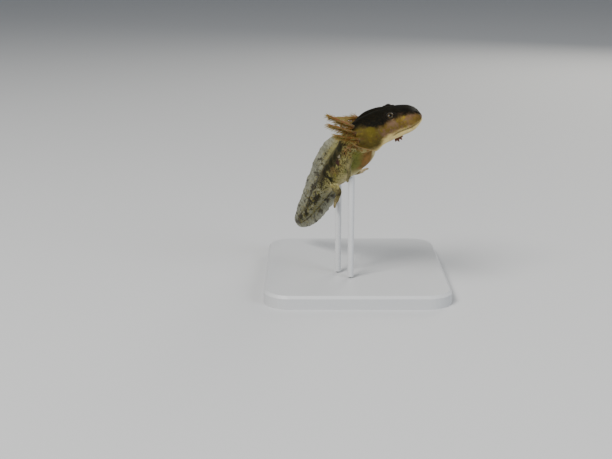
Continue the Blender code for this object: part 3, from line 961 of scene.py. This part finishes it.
def filament_form():
    """One gill filament, 1 mm long towards +X, thin and bent a little down."""
    select_none()
    bpy.ops.mesh.primitive_cylinder_add(
        vertices=6,
        radius=FILAMENT_RADIUS,
        depth=1.0,
        end_fill_type="TRIFAN",
        rotation=(0.0, math.pi / 2, 0.0),
        location=(0.5, 0.0, 0.0),
    )
    filament = settled("filament")
    for cut in (0.25, 0.5, 0.75, 0.94):
        bpy.ops.object.mode_set(mode="EDIT")
        bpy.ops.mesh.select_all(action="SELECT")
        bpy.ops.mesh.bisect(plane_co=(cut, 0.0, 0.0), plane_no=(1.0, 0.0, 0.0))
        bpy.ops.object.mode_set(mode="OBJECT")
    points = places(filament)
    taper = 1.0 - 0.35 * points[:, 0] - 0.35 * smooth_step(points[:, 0], 0.9, 1.0)
    points[:, 1] *= taper
    points[:, 2] = points[:, 2] * taper - FILAMENT_SAG * points[:, 0] ** 2
    move_to(filament, points)
    return filament


def gill_line(side, root_place, way, length):
    """Points along a gill's stalk, then its way, and the ways across it and above it."""
    right, back = root_place
    forward, outward, upward = way
    ahead, side_way, back_way = axes_at(SKULL)
    along = unit(ahead * forward + side_way * side * outward + back_way * upward)
    lift = unit(ahead * 0.15 + side_way * side * 0.1 + back_way)
    root = rigid(np.array([(-GILLS, -side * right, back)]), GILLS)[0] - along * 0.8
    shares = np.linspace(0.0, 1.0, len(GILL_RADII))
    path = [root + along * length * t + lift * 0.12 * length * t * t for t in shares]
    return np.array(path), along, unit(np.cross(along, lift)), lift


def level_and_above(way, up):
    """Two directions square to a way: one level, and one as near to upwards as can be."""
    level = unit(np.cross(up, way))
    return level, np.cross(way, level)


def place_filament(filament, root, at, ways, long, thick, bend):
    """A copy of the filament, sized, bent and turned to its place on the stalk."""
    ahead, level, above = ways
    copy = filament.copy()
    copy.data = filament.data.copy()
    bpy.context.scene.collection.objects.link(copy)
    straight = places(copy)
    turned = (straight[:, :1] * ahead + bend * straight[:, :1] ** 2 * level) * long
    turned = turned + straight[:, 1:2] * level * thick
    turned = turned + straight[:, 2:3] * above * thick + root
    move_to(copy, turned)
    mark(copy, "straight", turned)
    mark(copy, "zone", columns(np.clip(straight[:, 0], 0, 1), at / 6, 1.0))
    return copy


def make_gill(name, side, root_place, way, length, filament, chance, material):
    """One gill: its stalk and its rows of filaments, joined."""
    path, along, across, lift = gill_line(side, root_place, way, length)
    stalk = draw_tube(name, path, GILL_RADII, sides=3, samples=4)
    on_stalk = (places(stalk) - path[0]) @ along / length
    mark(stalk, "straight", places(stalk))
    mark(stalk, "zone", columns(0.0, on_stalk, 0.0))
    parts = [stalk]
    count = FILAMENTS_A_ROW
    first, span, last = FILAMENT_SPAN
    for row, droop in FILAMENT_ROWS:
        for k in range(count):
            at = min(first + span * (k + chance.uniform(0.0, 0.8)) / count, last)
            root = path[int(at)] + (path[int(at) + 1] - path[int(at)]) * (at % 1)
            long = FILAMENT_LENGTH * (1.10 - 0.10 * at) * chance.uniform(0.7, 1.15)
            sweep = chance.uniform(0.7, 1.25) + 0.16 * at
            turn = math.radians(droop + chance.uniform(-14, 14))
            ahead = across * row * math.cos(turn) - lift * math.sin(turn) + along * sweep
            ahead = unit(ahead)
            ways = (ahead, *level_and_above(ahead, lift))
            thick, bend = chance.uniform(0.8, 1.2), chance.uniform(-0.45, 0.45)
            parts.append(place_filament(filament, root, at, ways, long, thick, bend))
    gill = join(parts, name + "_feather")
    move_to(gill, places(gill) * TO_METRES)
    finish_piece(gill, material, [name])


def make_gills(material):
    filament = filament_form()
    chance = random.Random(11)
    for row in gill_rows():
        make_gill(*row, filament, chance, material)
    bpy.data.objects.remove(filament)


# Eyes


def make_eyes(material):
    for side, word in ((1, "right"), (-1, "left")):
        select_none()
        bpy.ops.mesh.primitive_uv_sphere_add(segments=48, ring_count=32, radius=EYE_RADIUS)
        eye = named(f"eyeball_{word}")
        local = places(eye)
        forward, outward, up = EYE_LOOKS
        ahead, right, back = axes_at(EYES)
        looks = unit(ahead * forward + right * side * outward + back * up)
        level, above = level_and_above(looks, back)
        centre = rigid(np.array([(-EYES, -side * EYE_PLACE[0], EYE_PLACE[1])]), EYES)[0]
        placed = local[:, :1] * level + local[:, 1:2] * above + local[:, 2:3] * looks
        mark(eye, "straight", local)
        move_to(eye, (placed + centre) * TO_METRES)
        finish_piece(eye, material, [f"eye_{word}"])


# Finishes


def fill(tree, node, inputs):
    """Links the sockets among a node's inputs, and sets the plain values."""
    for key, value in inputs.items():
        if isinstance(value, bpy.types.NodeSocket):
            tree.links.new(value, node.inputs[key])
        else:
            node.inputs[key].default_value = value


def add(tree, kind, inputs, **settings):
    """A node with its settings, its values, and links from other nodes' outputs."""
    node = tree.nodes.new(kind)
    for key, value in settings.items():
        setattr(node, key, value)
    fill(tree, node, inputs)
    return node


def calc(tree, operation, a, b=0.0, c=0.0):
    node = add(tree, "ShaderNodeMath", {0: a, 1: b, 2: c}, operation=operation)
    return node.outputs[0]


def vector_calc(tree, operation, *values):
    inputs = dict(enumerate(values))
    return add(tree, "ShaderNodeVectorMath", inputs, operation=operation).outputs


def blend(tree, share, a, b):
    """Mixes two colours, each a socket or a plain colour."""
    a, b = (v if isinstance(v, bpy.types.NodeSocket) else (*v, 1.0) for v in (a, b))
    node = add(tree, "ShaderNodeMix", {0: share, 6: a, 7: b}, data_type="RGBA")
    return node.outputs[2]


def spread(tree, value, low, high, to_low=0.0, to_high=1.0):
    """Maps a range of a value to another, easing in and out."""
    inputs = {0: value, 1: low, 2: high, 3: to_low, 4: to_high}
    node = add(tree, "ShaderNodeMapRange", inputs, interpolation_type="SMOOTHSTEP")
    return node.outputs[0]


def noise(tree, place, scale, detail=2.0, rough=0.5, warp=0.0):
    inputs = {"Vector": place, "Scale": scale, "Detail": detail, "Roughness": rough}
    inputs["Distortion"] = warp
    return add(tree, "ShaderNodeTexNoise", inputs).outputs[0]


def passing(tree, value, limit, low, high):
    """0 to 1 as a value passes a limit, from low to high about it."""
    return spread(tree, calc(tree, "SUBTRACT", value, limit), low, high)


def tint(tree, a, b, value, low, high):
    """One colour turning into another, as a value goes from low to high."""
    return blend(tree, spread(tree, value, low, high), a, b)


def swayed(tree, value, marks, amount):
    """A value pushed up and down by a noise, which lies about a half."""
    push = calc(tree, "SUBTRACT", marks, 0.5)
    return calc(tree, "MULTIPLY_ADD", push, amount, value)


def read(tree, name):
    return add(tree, "ShaderNodeAttribute", {}, attribute_name=name).outputs["Vector"]


def split(tree, vector):
    return add(tree, "ShaderNodeSeparateXYZ", {0: vector}).outputs


def new_group(name, takes, gives):
    """An empty node group with named inputs and outputs."""
    group = bpy.data.node_groups.new(name, "ShaderNodeTree")
    for way, sockets in (("INPUT", takes), ("OUTPUT", gives)):
        for socket, kind in sockets:
            group.interface.new_socket(socket, in_out=way, socket_type=kind)
    return group, group.nodes.new("NodeGroupInput"), group.nodes.new("NodeGroupOutput")


def use_group(tree, group, *values):
    """A node group placed in a material or in another group, with its values."""
    inputs = dict(enumerate(values))
    return add(tree, "ShaderNodeGroup", inputs, node_tree=group).outputs


def speckle_group():
    """Round spots of uneven size: 1 inside a spot and 0 between them."""
    takes = (
        ("Place", "NodeSocketVector"),
        ("Spots per mm", "NodeSocketFloat"),
        ("Cover", "NodeSocketFloat"),
    )
    tree, start, end = new_group("Speckles", takes, (("Spots", "NodeSocketFloat"),))
    place, scale, cover = (start.outputs[k] for k in range(3))
    warped = warp(tree, place, 2.2, 0.22, normalize=True)
    cells = add(tree, "ShaderNodeTexVoronoi", {"Vector": warped, "Scale": scale})
    chance = split(tree, cells.outputs["Color"])[0]
    size = calc(tree, "MULTIPLY", chance, cover)
    inside = calc(tree, "SUBTRACT", size, cells.outputs["Distance"])
    fill(tree, end, {0: spread(tree, inside, -0.06, 0.10)})
    return tree


def window(tree, value, rise_from, rise_to, fall_from, fall_to):
    """1 between two places along a value, easing to 0 outside them."""
    up = spread(tree, value, rise_from, rise_to)
    return calc(tree, "MULTIPLY", up, spread(tree, value, fall_to, fall_from))


def times(tree, *values):
    """The product of several masks."""
    product = values[0]
    for value in values[1:]:
        product = calc(tree, "MULTIPLY", product, value)
    return product


def blotch(tree, place, centre, radius):
    """A soft round mark about a point of the straight body."""
    away = vector_calc(tree, "DISTANCE", place, centre)["Value"]
    return spread(tree, away, radius * 1.35, radius * 0.45)


def lay_blotches(tree, place, rows, strength, colour):
    """A list of single marks laid over a colour."""
    for centre, radius, paint in rows:
        share = times(tree, blotch(tree, place, centre, radius), strength)
        colour = blend(tree, share, colour, paint)
    return colour


def warp(tree, place, scale, amount, normalize=False):
    """The same place, pushed about so that marks come out uneven."""
    inputs = {"Vector": place, "Scale": scale}
    jitter = add(tree, "ShaderNodeTexNoise", inputs, normalize=normalize).outputs["Color"]
    return vector_calc(tree, "MULTIPLY_ADD", jitter, (amount,) * 3, place)[0]


def squeezed(tree, place):
    """The straight place with the marks drawn out along the body."""
    return vector_calc(tree, "MULTIPLY", place, (MARKS_DRAWN_OUT, 1.0, 1.0))[0]


def clump_group():
    """The dark clumps of the tail: 1 inside a clump and 0 between them."""
    takes, gives = (("Place", "NodeSocketVector"),), (("Clumps", "NodeSocketFloat"),)
    tree, start, end = new_group("Tail clumps", takes, gives)
    wobbly = warp(tree, start.outputs[0], 1.3, 0.55)
    flat = vector_calc(tree, "MULTIPLY", wobbly, (1.0, 0.0, 1.0))[0]
    clumps = 0.0
    for distance, height, radius in TAIL_CLUMPS:
        centre = (-MARKS_DRAWN_OUT * distance, 0.0, height)
        clumps = calc(tree, "MAXIMUM", clumps, blotch(tree, flat, centre, radius))
    fill(tree, end, {0: clumps})
    return tree


def cheek_colours(tree, place, distance, clouds, mottle, close, along):
    """The side of the head: brown and mauve, a pale jaw and a warm throat."""
    cheek = tint(tree, CHEEK_BROWN, CHEEK_MAUVE, clouds, 0.42, 0.58)
    olive = times(tree, window(tree, along, 7.0, 8.4, 10.6, 11.8), 0.9)
    cheek = blend(tree, olive, cheek, CHEEK_OLIVE)
    cheek = tint(tree, cheek, CHEEK_YELLOW, mottle, 0.46, 0.74)
    umber = spread(tree, noise(tree, place, 1.9, 3.0, 0.6), 0.48, 0.72)
    cheek = blend(tree, times(tree, umber, 0.6), cheek, UMBER)
    hang = spread(tree, distance, 6.5, 9.5, 0.0, 0.55)
    lower = calc(tree, "ADD", calc(tree, "MULTIPLY_ADD", clouds, 0.3, close), hang)
    cheek = tint(tree, cheek, JAW_PALE, lower, 0.20, -0.36)
    cheek = tint(tree, cheek, THROAT, lower, -0.44, -0.80)
    under = spread(tree, lower, -0.10, -0.50)
    stain = times(tree, spread(tree, mottle, 0.50, 0.72), under, 0.5)
    return blend(tree, stain, cheek, THROAT_DULL)


def flank_colours(tree, place, distance, back, clouds, mottle, wavy, close, along):
    """The trunk without its dark marks: olive above, ruddy chest, green gut, pale belly with
    a painted sheen along its left edge.
    """
    sideways = split(tree, place)[1]
    flank = tint(tree, FLANK_OLIVE, FLANK_DULL, mottle, 0.42, 0.60)
    flank = tint(tree, flank, FLANK_PALE, wavy, -0.15, -0.55)
    rust = window(tree, along, 10.5, 11.5, 14.5, 16.0)
    rust = times(tree, rust, spread(tree, mottle, 0.44, 0.58), 0.8)
    flank = blend(tree, rust, flank, RUST)
    flank = tint(tree, flank, BACK_OLIVE, wavy, 0.30, 0.75)

    low = spread(tree, close, -0.34, -0.56)
    gut = times(tree, low, window(tree, along, 12.2, 13.4, 17.4, 19.2), 0.92)
    flank = blend(tree, gut, flank, GUT_GREEN)
    across = swayed(tree, calc(tree, "ABSOLUTE", sideways), clouds, 1.6)
    ruddy = tint(tree, CHEST_RUST, CHEST_BROWN, mottle, 0.38, 0.64)
    chest = times(tree, low, window(tree, along, 10.6, 11.8, 16.0, 18.5))
    chest = times(tree, chest, spread(tree, across, 2.9, 1.7), 0.92)
    flank = blend(tree, chest, flank, ruddy)

    # The pale strip left of the middle: the pale belly, and a painted sheen along its edge
    off_sheen_strip = calc(tree, "ABSOLUTE", calc(tree, "SUBTRACT", sideways, BELLY_SHEEN_STRIP))
    off_sheen_strip = swayed(tree, off_sheen_strip, clouds, 0.8)
    underneath = spread(tree, back, -0.5, -0.8)
    pale = times(tree, spread(tree, off_sheen_strip, 1.3, 0.4), underneath, 0.9)
    rear = times(tree, spread(tree, distance, 16.0, 19.5), spread(tree, close, -0.55, -0.85))
    milky = noise(tree, place, 1.1, 3.0, 0.6)
    dull = times(tree, spread(tree, milky, 0.44, 0.66), 0.75)
    belly = blend(tree, dull, BELLY_AND_SHEEN, BELLY_DULL)
    return blend(tree, calc(tree, "MAXIMUM", pale, rear), flank, belly)


def skin_group(speckles, tail_clumps):
    """The markings: black crown, mottled cheek, dark band along the side, pale belly."""
    takes = (
        ("Place", "NodeSocketVector"),
        ("Back", "NodeSocketFloat"),
        ("Limb", "NodeSocketFloat"),
    )
    gives = (("Color", "NodeSocketColor"), ("Height", "NodeSocketFloat"))
    tree, start, end = new_group("Markings", takes, gives)
    place, back, limb = (start.outputs[k] for k in range(3))
    distance = calc(tree, "MULTIPLY", split(tree, place)[0], -1.0)
    clouds = noise(tree, place, 0.5, 3.0, 0.6)
    mottle = noise(tree, place, 1.5, 3.0, 0.6, 0.4)
    grain = noise(tree, place, 5.0, 2.0, 0.6)
    wavy = swayed(tree, swayed(tree, back, clouds, 0.9), mottle, 0.55)
    close = swayed(tree, back, mottle, 0.35)
    along = swayed(tree, distance, mottle, 3.0)
    packed = squeezed(tree, place)
    warped = warp(tree, packed, *PATCH_WARP)
    wobbly = warp(tree, place, 1.1, 0.5)
    fold_at = spread(tree, split(tree, place)[2], *GILL_FOLD_RISE, *GILL_FOLD)
    past_fold = calc(tree, "SUBTRACT", distance, fold_at)
    on_head = spread(tree, past_fold, 0.25, -0.20)
    on_tail = spread(tree, distance, *TAIL_TURNS)

    cheek = cheek_colours(tree, place, distance, clouds, mottle, close, along)
    flank = flank_colours(tree, place, distance, back, clouds, mottle, wavy, close, along)
    tail = tint(tree, TAIL_GREY, TAIL_OLIVE, mottle, 0.44, 0.58)
    flank = blend(tree, times(tree, on_tail, 0.9), flank, tail)

    # The dark band along the side
    middle = spread(tree, distance, 12.0, 22.0, 0.46, 0.40)
    from_band = calc(tree, "ABSOLUTE", calc(tree, "SUBTRACT", wavy, middle))
    behind_head = spread(tree, distance, 11.8, 13.0)
    band = times(tree, spread(tree, from_band, 0.46, 0.18), behind_head)
    band = times(tree, band, spread(tree, on_tail, 1.0, 0.0, 0.25, 0.94))
    dark = tint(tree, BLACK_BROWN, BAND, grain, 0.45, 0.62)
    flank = blend(tree, times(tree, band, 0.9), flank, dark)
    colour = blend(tree, on_head, flank, cheek)

    # The black crown, lower over the cheek than over the snout, and the pale rim of the fold
    lobe = window(tree, distance, 5.0, 7.0, 9.0, 10.3)
    cap_edge = calc(tree, "MULTIPLY_ADD", lobe, -0.31, 0.75)
    cap = passing(tree, close, cap_edge, -0.17, 0.13)
    crown = tint(tree, CROWN, CROWN_BROWN, grain, 0.48, 0.64)
    colour = blend(tree, times(tree, cap, spread(tree, distance, 13.4, 12.2)), colour, crown)
    rim = window(tree, past_fold, -0.62, -0.36, -0.16, -0.04)
    rim = times(tree, rim, spread(tree, back, 0.35, 0.0), spread(tree, limb, 0.2, 0.0))
    colour = blend(tree, times(tree, rim, 0.8), colour, FOLD_RIM)
    colour = lay_blotches(tree, wobbly, BLOTCHES, 0.8, colour)

    # The legs, paler to the toes
    toes = split(tree, read(tree, "limb"))[0]
    legs = tint(tree, LEG_OLIVE, LEG_DULL, mottle, 0.44, 0.58)
    legs = tint(tree, legs, LEG_PALE, toes, 0.30, 0.85)
    on_leg = times(tree, limb, spread(tree, back, 0.85, 0.35, 0.7, 1.0))
    colour = blend(tree, on_leg, colour, legs)

    # Black patches, fine pepper, round dots and gold flecks
    open_skin = times(
        tree, spread(tree, back, -0.90, -0.40), spread(tree, limb, 0.0, 0.7, 1.0, 0.6)
    )
    patchy = noise(tree, warped, *PATCH_NOISE)
    patch_from = spread(tree, on_tail, 0.0, 1.0, 0.585, 0.49)
    coarse = passing(tree, patchy, patch_from, -0.02, 0.05)
    coarse = times(tree, coarse, open_skin, spread(tree, distance, 11.5, 14.5), 0.92)
    clumps = use_group(tree, tail_clumps, packed)[0]
    coarse = calc(tree, "MAXIMUM", coarse, times(tree, clumps, on_tail, 0.94))
    colour = blend(tree, coarse, colour, BLACK)
    peppered = noise(tree, packed, 3.4, 2.0, 0.6)
    pepper_from = spread(tree, on_head, 0.0, 1.0, 0.545, 0.63)
    fine = passing(tree, peppered, pepper_from, -0.01, 0.06)
    fine = times(tree, fine, open_skin, spread(tree, on_head, 0.0, 1.0, 0.75, 0.35))
    colour = blend(tree, fine, colour, BLACK_BROWN)
    cover = spread(tree, on_head, 0.0, 1.0, 0.50, 0.16)
    dots = use_group(tree, speckles, place, 3.6, cover)[0]
    colour = blend(tree, times(tree, dots, open_skin, 0.6), colour, BLACK_BROWN)
    golden = noise(tree, wobbly, *GOLD_NOISE)
    gold = times(tree, spread(tree, golden, 0.56, 0.70), spread(tree, back, -0.9, -0.3))
    gold = times(tree, gold, spread(tree, cap, 0.30, 0.0), spread(tree, band, 0.9, 0.2))
    gold = times(tree, gold, spread(tree, on_head, 0.0, 1.0, 0.45, 0.16))
    colour = blend(tree, gold, colour, GOLD)
    colour = lay_blotches(tree, wobbly, LAST_BLOTCHES, 0.88, colour)

    height = calc(tree, "MULTIPLY_ADD", grain, 0.6, calc(tree, "MULTIPLY", mottle, 0.4))
    fill(tree, end, {0: colour, 1: height})
    return tree


def new_material(name):
    material = bpy.data.materials.new(name)
    material.use_nodes = True
    tree = material.node_tree
    return material, tree, tree.nodes["Principled BSDF"]


def place_markings(tree, markings, zone, limb):
    """Colour and height of the markings on a piece, and its straight place."""
    place = read(tree, "straight")
    colour, height = use_group(tree, markings, place, zone[0], limb)
    return colour, height, place


def skin_material(markings):
    material, tree, shader = new_material("Wet skin")
    zone = split(tree, read(tree, "zone"))
    colour, height, _ = place_markings(tree, markings, zone, zone[1])
    # The groove of the mouth darkened with painted shade
    colour = blend(tree, calc(tree, "MULTIPLY", zone[2], 0.75), colour, MOUTH_GROOVE_SHADE)
    bump_inputs = {"Height": height, "Strength": 0.35, "Distance": 0.00008}
    relief = add(tree, "ShaderNodeBump", bump_inputs).outputs[0]
    fill(tree, shader, {"Base Color": colour, "Normal": relief, **SKIN_FINISH})
    return material


def fin_material(markings, speckles, tail_clumps):
    """A grey film, clearer to its edge, with dark and yellow specks that stay solid."""
    material, tree, shader = new_material("Fin membrane")
    zone = split(tree, read(tree, "zone"))
    side, out = zone[0], zone[1]
    colour, _, place = place_markings(tree, markings, zone, 0.0)
    distance = calc(tree, "MULTIPLY", split(tree, place)[0], -1.0)

    clouds = spread(tree, noise(tree, place, 0.8, 3.0), 0.4, 0.6)
    film = blend(tree, clouds, FILM_LIGHT, FILM_DARK)
    on_back = spread(tree, distance, 27.0, 20.0)
    olive = times(tree, spread(tree, out, 0.85, 0.2), on_back, 0.8)
    film = blend(tree, olive, film, FLANK_OLIVE)
    rear = times(tree, spread(tree, distance, *TAIL_TURNS), 0.6)
    film = blend(tree, rear, film, FILM_REAR)
    colour = tint(tree, colour, film, out, 0.0, 0.22)

    # Dark patches, fewer towards the edge, the tip and under the belly
    packed = squeezed(tree, place)
    warped = warp(tree, packed, *PATCH_WARP)
    thinning = spread(tree, distance, 34.0, 42.0, 0.085, 0.01)
    patch_from = spread(tree, distance, 17.0, 31.0, 0.61, 0.52)
    patch_from = calc(tree, "ADD", patch_from, spread(tree, side, 0.0, -0.3, 0.0, 0.045))
    patch_from = calc(tree, "ADD", patch_from, spread(tree, out, 0.35, 1.0, 0.0, thinning))
    patchy = noise(tree, warped, *PATCH_NOISE)
    clumps = passing(tree, patchy, patch_from, -0.02, 0.05)
    clumps = calc(tree, "MAXIMUM", clumps, use_group(tree, tail_clumps, packed)[0])
    peppered = noise(tree, packed, 2.8, 2.0, 0.6)
    fine = passing(tree, peppered, patch_from, 0.0, 0.07)
    cover = spread(tree, out, 0.2, 1.0, 0.55, 0.30)
    dots = use_group(tree, speckles, place, 3.4, cover)[0]
    fine = calc(tree, "MAXIMUM", fine, calc(tree, "MULTIPLY", dots, 0.8))
    dark = calc(tree, "MAXIMUM", clumps, calc(tree, "MULTIPLY", fine, 0.7))
    golden = noise(tree, warped, *GOLD_NOISE)
    yellow = times(tree, spread(tree, golden, 0.54, 0.64), spread(tree, out, 1.0, 0.3), 0.55)
    colour = blend(tree, yellow, colour, GOLD)
    colour = blend(tree, calc(tree, "MULTIPLY", dark, 0.92), colour, BLACK_BROWN)

    marks = calc(tree, "MULTIPLY", calc(tree, "MAXIMUM", dark, yellow), 0.9)
    alpha = calc(tree, "MAXIMUM", spread(tree, out, 0.0, 0.95, 1.0, 0.72), marks)
    fill(tree, shader, {"Base Color": colour, "Alpha": alpha, **FIN_FINISH})
    return material


def gill_material():
    """Dark at the root of each stalk, then orange, with pale tips to the filaments."""
    material, tree, shader = new_material("Gill filaments")
    place = read(tree, "straight")
    tip, along, thread = split(tree, read(tree, "zone"))
    mottle = noise(tree, place, 2.2, 3.0)
    stalk = tint(tree, STALK_ROOT, STALK_ORANGE, along, 0.10, 0.60)
    stalk = tint(tree, stalk, STALK_MOTTLE, mottle, 0.50, 0.60)
    orange = tint(tree, FILAMENT_ORANGE, FILAMENT_OLIVE, mottle, 0.38, 0.62)
    orange = tint(tree, orange, FILAMENT_TIP, tip, 0.35, 1.0)
    colour = blend(tree, thread, stalk, orange)
    fill(tree, shader, {"Base Color": colour, **GILL_FINISH})
    return material


def eye_material():
    """A black pupil, a thin gold ring and a dark, gold-flecked iris, under a clear gloss."""
    material, tree, shader = new_material("Eye")
    place = read(tree, "straight")
    across, above, outward = split(tree, place)
    flat = add(tree, "ShaderNodeCombineXYZ", {0: across, 1: above, 2: 0.0}).outputs[0]
    radius = vector_calc(tree, "LENGTH", flat)["Value"]
    front = spread(tree, outward, 0.0, 0.1)
    flecks = noise(tree, place, 7.0, 3.0, 0.7)
    iris = tint(tree, IRIS_DARK, IRIS_GOLD, flecks, 0.45, 0.65)
    ring = times(tree, spread(tree, radius, 0.33, 0.35), spread(tree, radius, 0.42, 0.38))
    iris = blend(tree, times(tree, ring, front), iris, PUPIL_RING)
    iris = tint(tree, iris, EYE_RIM, radius, 0.52, 0.66)
    pupil = times(tree, spread(tree, radius, 0.35, 0.33), front)
    colour = blend(tree, pupil, iris, PUPIL)
    fill(tree, shader, {"Base Color": colour, **EYE_FINISH})
    return material


def plain_material(name, colour, roughness):
    material, tree, shader = new_material(name)
    fill(tree, shader, {"Base Color": (*colour, 1.0), "Roughness": roughness})
    return material


# The stand


def add_pin(name, rod, material):
    """A short pin on top of a rod, which closes the gap and runs up into the body."""
    points = places(rod)
    middle = (points.min(axis=0) + points.max(axis=0)) / 2
    top = points[:, 2].max()
    foot, head = top - PIN_REACH[0] * TO_METRES, top + PIN_REACH[1] * TO_METRES
    select_none()
    bpy.ops.mesh.primitive_cylinder_add(
        vertices=24,
        radius=PIN_RADIUS * TO_METRES,
        depth=head - foot,
        location=(middle[0], middle[1], (foot + head) / 2),
    )
    finish_piece(settled(name), material, [])


def dress_stand():
    grey = plain_material("Satin grey", BASE_GREY, 0.42)
    steel = plain_material("Rod", ROD_GREY, 0.35)
    for name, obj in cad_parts.items():
        if name.startswith("stand_"):
            obj.data.materials.clear()
            obj.data.materials.append(grey if name == "stand_base" else steel)
    for name in ("stand_rod_front", "stand_rod_rear"):
        add_pin(name.replace("rod", "pin"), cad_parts[name], steel)


# The room


def make_room():
    select_none()
    bpy.ops.mesh.primitive_plane_add(size=FLOOR_SIZE, location=(0.0, 0.0, 0.0))
    floor = named("floor")
    floor.data.materials.append(plain_material("Pale floor", FLOOR_GREY, 0.7))
    world = bpy.data.worlds.new("Studio")
    bpy.context.scene.world = world
    world.use_nodes = True
    sky = world.node_tree.nodes["Background"]
    fill(world.node_tree, sky, {"Color": (*SKY, 1.0), "Strength": SKY_STRENGTH})
    for name, place, size, power, colour in LAMPS:
        bpy.ops.object.light_add(type="AREA", location=place)
        lamp = named(name)
        lamp.data.size = size
        lamp.data.energy = power
        lamp.data.color = colour
        aim = Vector(LAMPS_AIM) - Vector(place)
        lamp.rotation_euler = aim.to_track_quat("-Z", "Y").to_euler()


def make_camera():
    """Stands where the snout falls on the same point of the picture as in the photograph."""
    across = (SNOUT_IN_PICTURE[0] - PICTURE[0] / 2) / CAMERA_PIXELS * CAMERA_AWAY
    above = (PICTURE[1] / 2 - SNOUT_IN_PICTURE[1]) / CAMERA_PIXELS * CAMERA_AWAY
    upward = np.array((0.0, math.sin(CAMERA_TILT), math.cos(CAMERA_TILT)))
    ahead = np.array((0.0, math.cos(CAMERA_TILT), -math.sin(CAMERA_TILT)))
    rightward = np.array((1.0, 0.0, 0.0))
    place = SNOUT_TIP - across * rightward - above * upward - CAMERA_AWAY * ahead
    bpy.ops.object.camera_add(location=place * TO_METRES)
    camera = named("Camera")
    camera.rotation_euler = (math.pi / 2 - CAMERA_TILT, 0.0, 0.0)
    camera.data.sensor_width = SENSOR_WIDTH
    camera.data.lens = CAMERA_PIXELS * SENSOR_WIDTH / PICTURE[0]
    camera.data.clip_start = 0.005
    camera.data.clip_end = 20.0
    bpy.context.scene.camera = camera


def main():
    speckles = speckle_group()
    tail_clumps = clump_group()
    markings = skin_group(speckles, tail_clumps)
    make_skin(skin_material(markings))
    make_fin(fin_material(markings, speckles, tail_clumps))
    make_gills(gill_material())
    make_eyes(eye_material())
    dress_stand()
    make_room()
    make_camera()


main()
